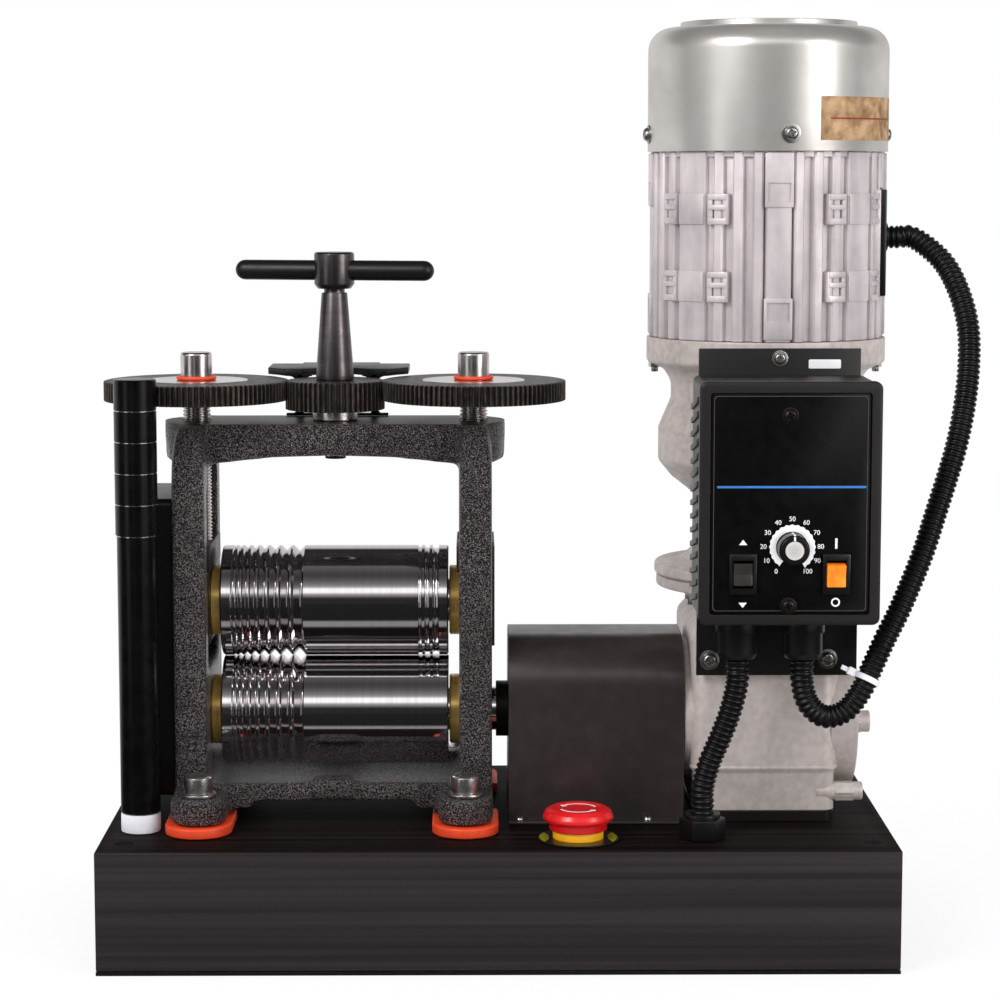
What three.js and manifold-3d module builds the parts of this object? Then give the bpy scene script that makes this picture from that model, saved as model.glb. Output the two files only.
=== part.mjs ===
// Motor-driven jewellers rolling mill on a box base. Millimetres, +Z up, front towards -Y.
// The origin is the middle of the base's underside. Heights are given above the base's top, the deck.
import * as THREE from "three";
import { mergeVertices } from "three/addons/utils/BufferGeometryUtils.js";
import Module from "manifold-3d";

const wasm = await Module();
wasm.setup();

// Clearances
const seat = 0.3; // between pieces that rest on each other
const running = 0.35; // around a piece that turns or slides

// Facets of round pieces
const fineSides = 20;
const rollSides = 16;
const plainSides = 12;
const smallSides = 8;

// Base
const baseLength = 438;
const baseWidth = 223;
const baseHeight = 68.4; // floor to deck
const baseWall = 2.5;
const basePlate = 2; // bottom plate
const benchHoleRadius = 5.5;
const benchHoleInsetX = 14;
const benchHoleInsetY = 20.5;

// Mill frame
const millX = -92.4; // middle of the mill from the middle of the base
const frameTop = 225; // deck to the machined top of the yoke
const yokeThickness = 23;
const yokeArch = 5; // rise of the arch under the yoke
const yokeLength = 194;
const yokeWidth = 58;
const columnWidth = 18.5; // along X
const columnDepth = 18; // along Y
const windowWidth = 64.4; // between the columns of one side
const sillTop = 84; // top of the lower bearing seat
const floorThickness = 6;
const floorTop = 20;
const beamTop = 24;
const beamDepth = 10;
const lugWidth = 24; // middle lug on each cross beam
const lugRise = 3;
const footRadius = 15;
const footTop = 21;
const footReach = 66; // rounded end of a foot, from the mill's middle
const padThickness = 5.7;
const padMargin = 3.5;
const boltRadius = 5;
const boltHeadRadius = 8;
const boltHeadHeight = 10;
const boltWasherRadius = 10;
const boltWasherHeight = 1.5;
const boltSocketRadius = 4.6;
const boltLength = 38; // under the head
const columnShoulder = 34; // below the yoke's top, where the columns lean back
const columnBend = 26; // radius of that bend
const windowCorner = 12;

// Rolls
const rollRadius = 31.5;
const rollLength = 129;
const rollNip = 0.5; // gap between the rolls as shown
const lowerRollZ = 57.6;
const journalRadius = 12.5;
const bushRadius = 20;
const bushFlange = 5.4;
const bushBarrelRadius = 17;
const rollEndGap = 0.5;
const rollChamfer = 0.8;
const grooveCount = 8; // square wire grooves, on both rolls
const grooveFirst = -57.7; // middle of the narrowest
const grooveNarrow = 1.4;
const grooveStep = 0.73;
const grooveLand = 1.3;
const halfRoundCount = 3; // half-round grooves, on the upper roll only
const halfRoundFirst = 48.4;
const halfRoundNarrow = 2.1;
const halfRoundStep = 0.85;
const halfRoundLand = 1.5;

// Roll gears and their cover
const rollGearTeeth = 14;
const rollGearAddendum = 3.6;
const rollGearDedendum = 4.4;
const rollGearWidth = 16;
const gearCoverFront = -40;
const gearCoverBack = 46;
const gearCoverBottom = 15;
const gearCoverTop = 184;
const gearCoverDepth = 28.6; // along X
const gearCoverCorner = 4;
const sheetWall = 2;

// Chocks
const chockBelow = 21.6; // under the roll's axis
const chockAbove = 35.5;
const chockLip = 1.5; // lip over the bush, along X
const chockOverhang = 1.5; // past the outer face of the columns

// Roll adjustment
const adjustModule = 1.01;
const adjustGearTeeth = 102;
const pinionTeeth = 54;
const adjustBacklash = 0.15; // extra centre distance
const adjustRise = 22.8; // from the yoke's top to the top of the toothed wheels
const adjustGearWidth = 11.5;
const pinionWidth = 16.8;
const screwRadius = 8;
const screwPocket = 6; // depth of the chock's pocket for the screw's foot
const screwHubRadius = 29.3;
const screwCapRadius = 9;
const screwCapHeight = 16;
const screwRingRadius = 1.05; // section of the rubber ring
const spindleFoot = 6; // radius of the spindle in its bush
const spindleWaist = 8; // radius inside the pinion
const spindleBase = 10.8; // radius of the taper's foot
const spindleCollar = 2.7; // straight stretch at the taper's foot
const spindleNeck = 7.3;
const spindleGroove = 2.4; // under the head
const spindleHead = 11.4;
const spindleHeadTop = 320.4;
const spindleHeadHeight = 20.6;
const teeRadius = 5.7;
const teeLength = 116;
const teeTurn = -12; // degrees, as photographed
const spindleBushRadius = 13;
const spindleBushBarrel = 9.5;
const guardPostX = 19.5; // posts of the mesh guard
const guardPostWidth = 3.5;
const guardPostDepth = 5; // along Y
const guardFootX = 29.6;
const guardFootThickness = 1.4;
const guardThickness = 4;
const guardLift = 0.4; // above the gears at rest
const guardNotchX = 6; // the notch behind the spindle: half of its inner width, and its inner edge
const guardNotchY = 39.5;
const guardToothGap = 2; // between the plate and the rising teeth
const guardWingX = 41;
const guardWingDepth = 34; // from the wing's front
const guardSpineDepth = 44;

// Spare handle tube that stands on the deck
const leverX = -106.9; // from the mill's middle
const leverY = -60;
const leverRadius = 11;
const leverBore = 8.6;
const leverTop = 252.8;
const leverGripRadius = 11.7;
const leverGripRings = 5;
const leverGripLength = 86.3;
const gripGroove = 0.8; // depth of the grooves between the rings
const leverFootHeight = 10.7;
const leverPegHeight = 24;
const leverPinRadius = 4; // of the foot, in the base
const leverPinLength = 8;

// Drive
const couplingRadius = 16;
const couplingLength = 59;
const guardLength = 99; // coupling guard, along X
const guardDepth = 84;
const guardHeight = 104;
const guardBend = 28; // radius of its top bends
const driveX = 155; // motor axis
const driveY = 21;
const gearboxLeft = 109;
const gearboxRight = 192;
const gearboxFront = -44;
const gearboxBack = 86;
const gearboxRidge = 32; // height of the cast ridge
const gearboxShoulder = 104;
const gearboxTop = 127.2;
const gearboxCover = 3.6; // left side cover
const gearboxCoverRadius = 50;
const gearboxDisc = 44; // radius of the right side cover
const gearboxDiscDepth = 11.5;
const gearboxNeck = 46;
const gearboxInset = 1.5; // the plinth below the ridge is this much smaller all round
const gearboxBore = 40;
const studY = -30;
const studRadius = 5;
const bossRadius = 6; // the two bosses that carry the bracket
const inputFlangeRadius = 62;
const inputFlangeThickness = 6.2;
const outputGearRadius = 38;
const outputGearWidth = 14.4;
const rotorPinionRadius = 10;
const rotorShaftRadius = 8.5;
const rotorCoreRadius = 24;

// Motor
const bellDiscRadius = 63.2;
const bellDiscThickness = 6.8;
const bellNeckRadius = 40;
const bellBowlRadius = 61.4;
const bellBowlBottom = 190;
const bellBowlTop = 220.6;
const bellWaistRadius = 54.3;
const bellWaistBottom = 237.4;
const bellFlangeRadius = 68.5;
const bellFlangeThickness = 13;
const motorRadius = 66.3;
const motorBottom = 271.7;
const motorTop = 381;
const motorFins = 36;
const motorFinWidth = 5.6;
const motorFinDepth = 4.2;
const motorPadWidth = 13.6;
const fanCoverRadius = 68.5;
const fanCoverBottom = 376.9;
const fanCoverTop = 450; // top of the lip
const fanCoverLip = 3.2;
const fanCoverLipRadius = 50.2;
const fanCoverCorner = 13;
const fanCoverWall = 1.4;
const fanSlots = 8;
const fanSlotSpan = [18, 46]; // from the middle outwards
const fanSlotWidth = 4;
const fanRadius = 56;
const fanHubRadius = 14;
const fanDepth = 24;
const fanDisc = 3; // thickness
const fanBlades = 6;
const terminalWidth = 60; // along Y
const terminalHeight = 60;
const terminalZ = 325.7;
const terminalInset = 4.9; // the fins are cut back this far for the cover
const terminalThickness = 3.1;
const terminalBoss = 2;
const terminalHoseY = 4; // where the hose enters
const terminalHoseRise = 3;

// Control box and its bracket
const bracketLeft = 111;
const bracketRight = 200.8;
const bracketBottom = 85.6;
const bracketTop = 268.7;
const bracketFront = -50.1;
const bracketWall = 2;
const boxX = 155.8; // middle of the control box
const boxZ = 189.3;
const boxWidth = 97.6;
const boxHeight = 131;
const boxDepth = 60.6;
const boxWall = 3;
const boxRim = 6; // frame around the panel
const boxRimDepth = 8;
const boxRebate = 1; // the body behind the rim is this much smaller all round
const boxCorner = 4;
const panelThickness = 2;
const panelRecess = 1.4;
const rockerZ = 151.4;
const directionX = 130.8;
const powerX = 180.9;
const rockerWidth = 10;
const rockerHeight = 14.4;
const rockerTilt = 8; // degrees, the power switch stands at off
const bezelWidth = 15;
const bezelHeight = 22;
const bezelDepth = 1.6;
const knobX = 157;
const knobZ = 165.8;
const knobRadius = 8.2;
const knobDepth = 13;
const knobShaftRadius = 3;

// Glands, hoses and the emergency stop
const glandY = -80;
const baseGlandX = 112.6;
const baseHoseX = 131.2; // glands under the control box
const motorHoseX = 166.7;
const glandRadius = 12.2;
const glandLength = 22.5;
const glandThreadRadius = 8;
const glandThreadLength = 7;
const baseGlandHeight = 14.5;
const baseGlandDome = 2.8;
const hoseRadius = 6.5;
const hoseRoot = 5.5;
const hoseBore = 4.4;
const hoseRibPitch = 5;
const stopX = 44;
const stopY = -82;
const stopHeadRadius = 19.5;
const stopHeadThickness = 7.5;
const stopSkirtRadius = 16;
const stopSkirtBottom = 6;
const stopSkirtTop = 14.5;
const stopCollarRadius = 14;
const stopDiscRadius = 22.5;
const stopDiscThickness = 0.9;
const stopStemRadius = 5;
const stopThreadRadius = 8;
const stopThreadLength = 8; // below the base's top sheet
const stopPinRadius = 3;
const stopBlock = [30, 28, 27.2]; // contact block, along X, Y and Z
const inletWidth = 28;
const inletHeight = 20;
const inletDepth = 22;
const inletX = -150;
const inletWall = 2;
const inletFlange = 2.4;
const inletEar = 6; // how far the flange reaches past the body on each side

// Colours as seen on the machine
const finish = (color, roughness, metalness) =>
  new THREE.MeshStandardMaterial({ color, roughness, metalness });
const blackSheet = finish(0x2b2829, 0.55, 0.3);
const castIron = finish(0x4a484a, 0.5, 0.5);
const polishedSteel = finish(0xb9b7b8, 0.15, 1);
const darkSteel = finish(0x2a2829, 0.4, 0.9);
const bronze = finish(0xa9803a, 0.35, 1);
const orangeRubber = finish(0xf04a12, 0.6, 0);
const blackPlastic = finish(0x141414, 0.45, 0);
const whiteNylon = finish(0xeeeef2, 0.5, 0);
const castAluminium = finish(0xc4bfc0, 0.5, 0.8);
const galvanised = finish(0xb2b0aa, 0.35, 0.9);
const redPlastic = finish(0xc8141c, 0.35, 0);
const yellowPlastic = finish(0xf2d51a, 0.5, 0);
const orangeLamp = finish(0xff7a10, 0.3, 0);

const degrees = THREE.MathUtils.degToRad;

// A closed geometry as a solid and back, so that shapes can be joined and cut
function toSolid(geometry) {
  let shared = geometry;
  if (geometry.getAttribute("normal")) {
    geometry.deleteAttribute("normal");
    geometry.deleteAttribute("uv");
    shared = mergeVertices(geometry, 1e-4);
  }
  return new wasm.Manifold(
    new wasm.Mesh({
      numProp: 3,
      vertProperties: new Float32Array(shared.attributes.position.array),
      triVerts: new Uint32Array(shared.index.array),
    }),
  );
}
function toGeometry(made) {
  const mesh = made.getMesh();
  const geometry = new THREE.BufferGeometry();
  geometry.setAttribute("position", new THREE.BufferAttribute(mesh.vertProperties, 3));
  geometry.setIndex(new THREE.BufferAttribute(mesh.triVerts, 1));
  return geometry;
}
const solids = (parts) => parts.flat(Infinity).map(toSolid);
const join = (...parts) => toGeometry(solids(parts).reduce((all, part) => all.add(part)));
const cut = (body, ...tools) =>
  toGeometry(solids(tools).reduce((left, tool) => left.subtract(tool), toSolid(body)));
const common = (one, other) => toGeometry(toSolid(one).intersect(toSolid(other)));

// A piece as a named mesh
const machine = new THREE.Group();
function place(name, geometry, material, position = [0, 0, 0]) {
  const shared = toGeometry(toSolid(geometry));
  shared.computeVertexNormals();
  const piece = new THREE.Mesh(shared, material);
  piece.name = name;
  piece.position.set(...position);
  machine.add(piece);
}

// A box between two corners
function block([x0, x1], [y0, y1], [z0, z1]) {
  const geometry = new THREE.BoxGeometry(x1 - x0, y1 - y0, z1 - z0);
  return geometry.translate((x0 + x1) / 2, (y0 + y1) / 2, (z0 + z1) / 2);
}

// An outline extruded along an axis: [x, y] along z, [y, z] along x, [x, z] along y
function prism(axis, outline, [from, to]) {
  const shape = new THREE.Shape(outline.map(([u, v]) => new THREE.Vector2(u, v)));
  const geometry = new THREE.ExtrudeGeometry(shape, { depth: to - from, bevelEnabled: false });
  const [X, Y, Z] = [[1, 0, 0], [0, 1, 0], [0, 0, 1]].map((v) => new THREE.Vector3(...v));
  const turn = new THREE.Matrix4();
  if (axis === "x") turn.makeBasis(Y, Z, X).setPosition(from, 0, 0);
  if (axis === "y") turn.makeBasis(X, Z, Y.negate()).setPosition(0, to, 0);
  if (axis === "z") turn.setPosition(0, 0, from);
  return geometry.applyMatrix4(turn);
}

// A profile of [radius, height] turned about the z axis; it starts and ends on the axis
function turned(profile, sides = plainSides) {
  const points = profile.map(([r, z]) => new THREE.Vector2(r, z));
  return new THREE.LatheGeometry(points, sides).rotateX(Math.PI / 2);
}

// A round bar along an axis, through a point given by its other two coordinates
function bar(axis, radius, [from, to], [a, b] = [0, 0], sides = plainSides) {
  const made = turned([[0, from], [radius, from], [radius, to], [0, to]], sides);
  if (axis === "x") return made.rotateY(Math.PI / 2).translate(0, a, b);
  if (axis === "y") return made.rotateX(-Math.PI / 2).translate(a, 0, b);
  return made.translate(a, b, 0);
}

// The hole for a round piece that turns or slides in it: its flats clear the piece all round
function bore(axis, radius, range, at = [0, 0], sides = plainSides) {
  return bar(axis, (radius + running) / Math.cos(Math.PI / sides), range, at, sides);
}

// Rings of points joined into a closed surface, capped at both ends
function loft(rings) {
  const count = rings[0].length;
  const index = [];
  for (let ring = 0; ring + 1 < rings.length; ring += 1)
    for (let i = 0; i < count; i += 1) {
      const [a, b] = [ring * count + i, ring * count + ((i + 1) % count)];
      index.push(a, b, b + count, a, b + count, a + count);
    }
  const last = (rings.length - 1) * count;
  for (let i = 1; i + 1 < count; i += 1) {
    index.push(0, i + 1, i);
    index.push(last, last + i, last + i + 1);
  }
  return surface(rings, index);
}
function surface(rings, index) {
  const geometry = new THREE.BufferGeometry();
  geometry.setAttribute("position", new THREE.Float32BufferAttribute(rings.flat(2), 3));
  geometry.setIndex(index);
  return geometry;
}

// An arc of points about a middle, angles in degrees
function arc([u, v], radius, from, to, steps) {
  return Array.from({ length: steps + 1 }, (_, i) => {
    const angle = degrees(from + ((to - from) * i) / steps);
    return [u + radius * Math.cos(angle), v + radius * Math.sin(angle)];
  });
}

// A rectangle with round corners
function roundedRectangle([u0, u1], [v0, v1], radius, steps = 4) {
  return [
    ...arc([u1 - radius, v0 + radius], radius, -90, 0, steps),
    ...arc([u1 - radius, v1 - radius], radius, 0, 90, steps),
    ...arc([u0 + radius, v1 - radius], radius, 90, 180, steps),
    ...arc([u0 + radius, v0 + radius], radius, 180, 270, steps),
  ];
}

// Straight-flanked teeth; tipShare and rootShare are the flanks' ends as shares of the pitch.
// A tooth with no flat at its tip, or none at its root, has a single point there.
function toothed(teeth, tip, root, tipShare, rootShare, start) {
  const pitch = 360 / teeth;
  const flanks = [[root, -rootShare], [tip, -tipShare]];
  if (tipShare > 0) flanks.push([tip, tipShare]);
  if (rootShare < 1) flanks.push([root, rootShare]);
  return Array.from({ length: teeth }, (_, i) =>
    flanks.map(([radius, share]) => {
      const angle = degrees(start + (i + share / 2) * pitch);
      return [radius * Math.cos(angle), radius * Math.sin(angle)];
    }),
  ).flat();
}

const sides = [
  ["left", -1],
  ["right", 1],
];
const ends = [
  ["front", -1],
  ["rear", 1],
];

// Heights and places that follow from the sizes
const atMill = [millX, 0, 0];
const frameFoot = padThickness + 2 * seat;
const yokeBottom = frameTop - yokeThickness;
const columnInner = rollLength / 2 + rollEndGap + bushFlange + seat;
const columnOuter = columnInner + columnWidth;
const frameHalfDepth = windowWidth / 2 + columnDepth;
const footSpread = columnOuter - footRadius; // feet flush with the columns
const upperRollZ = lowerRollZ + 2 * rollRadius + rollNip;
const adjustGearTop = frameTop + adjustRise;
const adjustCentre = (adjustModule * (adjustGearTeeth + pinionTeeth)) / 2 + adjustBacklash;
const gearCoverX = columnOuter + seat;
const rollGearFrom = gearCoverX + sheetWall + 4;
const couplingFrom = millX + columnOuter + 2.4;
const couplingTo = couplingFrom + couplingLength;
const rollShaftEnd = couplingFrom + couplingLength / 2 - 1;
const inputTop = gearboxTop + inputFlangeThickness;
const bellDiscBottom = inputTop + seat;
const rotorPinionFrom = lowerRollZ + 14;

// Base: folded shell, bottom plate and mains inlet
const benchHoles = (range) =>
  [-1, 1].flatMap((sx) =>
    [-1, 1].map((sy) =>
      bar("z", benchHoleRadius, range, [
        sx * (baseLength / 2 - benchHoleInsetX),
        sy * (baseWidth / 2 - benchHoleInsetY),
      ], smallSides),
    ),
  );
const footCentres = sides.flatMap(([side, sx]) =>
  ends.map(([end, sy]) => [side, end, millX + sx * footSpread, sy * footReach]),
);
const below = -baseHeight; // floor, from the deck
const shellFoot = below + basePlate + seat;
const inletZ = below + baseHeight / 2;
const inletOpening = [
  [inletX - inletWidth / 2, inletX + inletWidth / 2],
  [inletZ - inletHeight / 2, inletZ + inletHeight / 2],
];
const grown = ([low, high], by) => [low - by, high + by];
place(
  "base_shell",
  cut(
    block([-baseLength / 2, baseLength / 2], [-baseWidth / 2, baseWidth / 2], [shellFoot, 0]),
    block(
      [baseWall - baseLength / 2, baseLength / 2 - baseWall],
      [baseWall - baseWidth / 2, baseWidth / 2 - baseWall],
      [shellFoot - 1, -baseWall],
    ),
    benchHoles([-baseWall - 1, 1]),
    footCentres.map(([, , x, y]) =>
      bore("z", boltRadius, [-baseWall - 1, 1], [x, y], smallSides),
    ),
    bore("z", stopThreadRadius, [-baseWall - 1, 1], [stopX, stopY], smallSides),
    bore("z", glandThreadRadius, [-baseWall - 1, 1], [baseGlandX, glandY], smallSides),
    bore("z", leverPinRadius, [-baseWall - 1, 1], [millX + leverX, leverY], smallSides),
    block(
      grown(inletOpening[0], seat),
      [baseWidth / 2 - baseWall - 1, baseWidth / 2 + 1],
      grown(inletOpening[1], seat),
    ),
  ),
  blackSheet,
);
place(
  "base_bottom_plate",
  cut(
    block([-baseLength / 2, baseLength / 2], [-baseWidth / 2, baseWidth / 2], [
      below,
      below + basePlate,
    ]),
    benchHoles([below - 1, below + basePlate + 1]),
  ),
  blackSheet,
);
const inletFrom = baseWidth / 2 - inletDepth;
const inletFlangeFrom = baseWidth / 2 + seat;
const inletTo = inletFlangeFrom + inletFlange;
place(
  "power_inlet",
  cut(
    join(
      block(inletOpening[0], [inletFrom, inletTo], inletOpening[1]),
      block(
        grown(inletOpening[0], inletEar),
        [inletFlangeFrom, inletTo],
        grown(inletOpening[1], inletEar / 2),
      ),
    ),
    block(
      grown(inletOpening[0], -inletWall),
      [inletFrom + 2 * inletWall, inletTo + 1],
      grown(inletOpening[1], -inletWall),
    ),
  ),
  blackPlastic,
);

// Mill frame: two window castings, yoke, cross beams, floor and feet in one iron casting
const footShape = (radius, inner, sy) => [
  ...arc([0, sy * footReach], radius, sy > 0 ? 0 : 180, sy > 0 ? 180 : 360, 6),
  [sy > 0 ? -radius : radius, sy * inner],
  [sy > 0 ? radius : -radius, sy * inner],
];
const bendZ = frameTop - columnShoulder;
const sideOutline = [
  [-frameHalfDepth, frameFoot],
  [frameHalfDepth, frameFoot],
  ...arc([frameHalfDepth - columnBend, bendZ], columnBend, 0, 72, 4),
  ...arc([columnBend - frameHalfDepth, bendZ], columnBend, 108, 180, 4),
];
const windowOutline = roundedRectangle(
  [-windowWidth / 2, windowWidth / 2],
  [sillTop, yokeBottom - 1],
  windowCorner,
  3,
);
const yokeOutline = [
  ...arc([(yokeLength - yokeWidth) / 2, 0], yokeWidth / 2, -90, 90, 6),
  ...arc([(yokeWidth - yokeLength) / 2, 0], yokeWidth / 2, 90, 270, 6),
];
const archRadius = (columnInner ** 2 + yokeArch ** 2) / (2 * yokeArch);
const archSpan = THREE.MathUtils.radToDeg(Math.asin(columnInner / archRadius));
const archOutline = [
  ...arc([0, yokeBottom + yokeArch - archRadius], archRadius, 90 - archSpan, 90 + archSpan, 4),
  [-columnInner, yokeBottom - 1],
  [columnInner, yokeBottom - 1],
];
// A range of distances from the mill's middle, on its left (-1) or right (1)
const onSide = (sx, near, far) => (sx > 0 ? [near, far] : [-far, -near]);
const frameBlank = join(
  sides.map(([, sx]) =>
    cut(
      prism("x", sideOutline, onSide(sx, columnInner, columnOuter)),
      prism("x", windowOutline, onSide(sx, columnInner - 1, columnOuter + 1)),
    ),
  ),
  cut(
    prism("z", yokeOutline, [yokeBottom, frameTop]),
    prism("y", archOutline, [-yokeWidth, yokeWidth]),
  ),
  block([-columnInner - 1, columnInner + 1], [-frameHalfDepth + 2, frameHalfDepth - 2], [
    floorTop - floorThickness,
    floorTop,
  ]),
  ends.map(([, sy]) => {
    const face = sy * frameHalfDepth;
    const back = sy * (frameHalfDepth - beamDepth);
    const inY = [Math.min(face, back), Math.max(face, back)];
    const beamBottom = floorTop - floorThickness;
    return join(
      block([-columnInner - 1, columnInner + 1], inY, [beamBottom, beamTop]),
      block(grown([0, 0], lugWidth / 2), grown(inY, lugRise + 1), [
        beamBottom + lugRise,
        beamTop + lugRise,
      ]),
    );
  }),
  footCentres.map(([, , x, y]) => {
    const outline = footShape(footRadius, frameHalfDepth - columnDepth / 2, Math.sign(y));
    return prism("z", outline, [frameFoot, footTop]).translate(x - millX, 0, 0);
  }),
);
place(
  "mill_frame",
  cut(
    frameBlank,
    sides.map(([, sx]) => [
      bore("z", screwRadius, [yokeBottom - 3, frameTop + 1], [sx * adjustCentre, 0]),
      bar("x", bushBarrelRadius + seat, onSide(sx, columnInner - 1, columnOuter + 1), [0, lowerRollZ]),
    ]),
    bar("z", spindleBushBarrel + seat, [yokeBottom - 3, frameTop + 1]),
    footCentres.map(([, , x, y]) =>
      bore("z", boltRadius, [frameFoot - 1, footTop + 1], [x - millX, y], smallSides),
    ),
  ),
  castIron,
  atMill,
);
const padRadius = footRadius + padMargin;
for (const [side, end, x, y] of footCentres) {
  const outline = footShape(padRadius, footReach - padRadius, Math.sign(y));
  place(
    `foot_pad_${end}_${side}`,
    cut(
      prism("z", outline, [seat, seat + padThickness]).translate(x, 0, 0),
      bore("z", boltRadius, [0, frameFoot], [x, y], smallSides),
    ),
    orangeRubber,
  );
  const washer = footTop + seat;
  const head = washer + boltWasherHeight;
  place(
    `frame_bolt_${end}_${side}`,
    cut(
      turned(
        [
          [0, head - boltLength],
          [boltRadius, head - boltLength],
          [boltRadius, washer],
          [boltWasherRadius, washer],
          [boltWasherRadius, head],
          [boltHeadRadius, head],
          [boltHeadRadius, head + boltHeadHeight],
          [0, head + boltHeadHeight],
        ],
      ),
      bar("z", boltSocketRadius, [head + boltHeadHeight / 2, head + boltHeadHeight + 1], [0, 0], 6),
    ).translate(x, y, 0),
    polishedSteel,
  );
}

// Rolls: a profile of [radius, place along the roll], with square wire and half-round grooves
function rollProfile(withHalfRounds, leftEnd, rightEnd) {
  const half = rollLength / 2;
  const profile = [[0, leftEnd], [journalRadius, leftEnd], [journalRadius, -half]];
  profile.push([rollRadius - rollChamfer, -half], [rollRadius, rollChamfer - half]);
  let middle = grooveFirst;
  for (let i = 0; i < grooveCount; i += 1) {
    const width = grooveNarrow + i * grooveStep;
    profile.push([rollRadius, middle - width / 2], [rollRadius - width / 2, middle]);
    profile.push([rollRadius, middle + width / 2]);
    middle += width + grooveStep / 2 + grooveLand;
  }
  middle = halfRoundFirst;
  for (let i = 0; withHalfRounds && i < halfRoundCount; i += 1) {
    const radius = (halfRoundNarrow + i * halfRoundStep) / 2;
    for (const [u, v] of arc([middle, rollRadius], radius, 180, 360, 3)) profile.push([v, u]);
    middle += 2 * radius + halfRoundStep / 2 + halfRoundLand;
  }
  profile.push([rollRadius, half - rollChamfer], [rollRadius - rollChamfer, half]);
  profile.push([journalRadius, half], [journalRadius, rightEnd], [0, rightEnd]);
  return profile;
}
const journalLeft = -(rollGearFrom + rollGearWidth + 2);
for (const [level, z, rightEnd] of [
  ["lower", lowerRollZ, rollShaftEnd - millX],
  ["upper", upperRollZ, columnOuter],
])
  place(
    `${level}_roll`,
    turned(rollProfile(level === "upper", journalLeft, rightEnd), rollSides).rotateY(degrees(90)),
    polishedSteel,
    [millX, 0, z],
  );

// Bronze bushes and the sliding bearing blocks of the upper roll
for (const [side, sx] of sides) {
  for (const [level, z] of [["lower", lowerRollZ], ["upper", upperRollZ]]) {
    const face = rollLength / 2 + rollEndGap;
    const bush = cut(
      turned([
        [0, face],
        [bushRadius, face],
        [bushRadius, face + bushFlange],
        [bushBarrelRadius, face + bushFlange],
        [bushBarrelRadius, columnOuter - 1],
        [0, columnOuter - 1],
      ]),
      bore("z", journalRadius, [face - 1, columnOuter]),
    );
    place(`${level}_bush_${side}`, bush.rotateY(degrees(sx * 90)), bronze, [millX, 0, z]);
  }
  const chockOuter = columnOuter + chockOverhang;
  const chockTop = upperRollZ + chockAbove;
  const acrossWindow = grown([-windowWidth / 2, windowWidth / 2], -running);
  place(
    `upper_chock_${side}`,
    cut(
      join(
        block(onSide(sx, columnInner, chockOuter), acrossWindow, [upperRollZ - chockBelow, chockTop]),
        block(onSide(sx, columnInner - chockLip, columnInner + 1), acrossWindow, [
          upperRollZ + bushRadius + seat,
          chockTop,
        ]),
      ),
      bar("x", bushBarrelRadius + seat, onSide(sx, columnInner - 1, chockOuter + 1), [0, upperRollZ]),
      bore("z", screwRadius, [chockTop - screwPocket, chockTop + 1], [sx * adjustCentre, 0]),
    ),
    darkSteel,
    atMill,
  );
}

// Equal roll gears with long teeth, and their sheet cover
const rollPitchRadius = (upperRollZ - lowerRollZ) / 2;
const rollGearTo = rollGearFrom + rollGearWidth;
for (const [level, z, start] of [
  ["lower", lowerRollZ, 90],
  ["upper", upperRollZ, 90 + 180 / rollGearTeeth],
]) {
  const outline = toothed(
    rollGearTeeth,
    rollPitchRadius + rollGearAddendum,
    rollPitchRadius - rollGearDedendum,
    0.24,
    0.56,
    start,
  );
  place(
    `${level}_roll_gear`,
    cut(
      prism("x", outline, [-rollGearTo, -rollGearFrom]),
      bar("x", journalRadius + seat, [-rollGearTo - 1, 1 - rollGearFrom], [0, 0], rollSides),
    ),
    darkSteel,
    [millX, 0, z],
  );
}
const coverOutline = (by, radius) =>
  roundedRectangle(
    grown([gearCoverFront, gearCoverBack], by),
    grown([gearCoverBottom, gearCoverTop], by),
    radius,
    3,
  );
place(
  "roll_gear_cover",
  cut(
    prism("x", coverOutline(0, gearCoverCorner), [-gearCoverX - gearCoverDepth, -gearCoverX]),
    prism("x", coverOutline(-sheetWall, gearCoverCorner - sheetWall), [
      sheetWall - gearCoverX - gearCoverDepth,
      1 - gearCoverX,
    ]),
  ),
  blackSheet,
  atMill,
);

// Pressure screws with their toothed wheels and rubber rings
const gearBottom = adjustGearTop - adjustGearWidth;
const tipRadius = (teeth) => (adjustModule * teeth) / 2 + adjustModule;
const rootRadius = (teeth) => (adjustModule * teeth) / 2 - 1.25 * adjustModule;
const fineTeeth = (teeth, start) => toothed(teeth, tipRadius(teeth), rootRadius(teeth), 0, 1, start);
for (const [side, sx] of sides) {
  const at = [millX + sx * adjustCentre, 0, 0];
  const foot = upperRollZ + chockAbove - screwPocket + seat;
  place(
    `pressure_screw_${side}`,
    turned(
      [
        [0, foot],
        [screwRadius, foot],
        [screwRadius, gearBottom],
        [screwHubRadius, gearBottom],
        [screwHubRadius, adjustGearTop],
        [screwCapRadius, adjustGearTop],
        [screwCapRadius, adjustGearTop + screwCapHeight - 1],
        [screwCapRadius - 1, adjustGearTop + screwCapHeight],
        [0, adjustGearTop + screwCapHeight],
      ],
      plainSides,
    ),
    polishedSteel,
    at,
  );
  place(
    `adjusting_gear_${side}`,
    cut(
      prism("z", fineTeeth(adjustGearTeeth, 180 / adjustGearTeeth), [gearBottom, adjustGearTop]),
      bar("z", screwHubRadius + seat, [gearBottom - 1, adjustGearTop + 1]),
    ),
    darkSteel,
    at,
  );
  const ringMiddle = screwCapRadius + seat + screwRingRadius;
  place(
    `screw_ring_${side}`,
    turned(arc([ringMiddle, adjustGearTop + seat + screwRingRadius], screwRingRadius, -90, 270, 4)),
    orangeRubber,
    at,
  );
}

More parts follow.
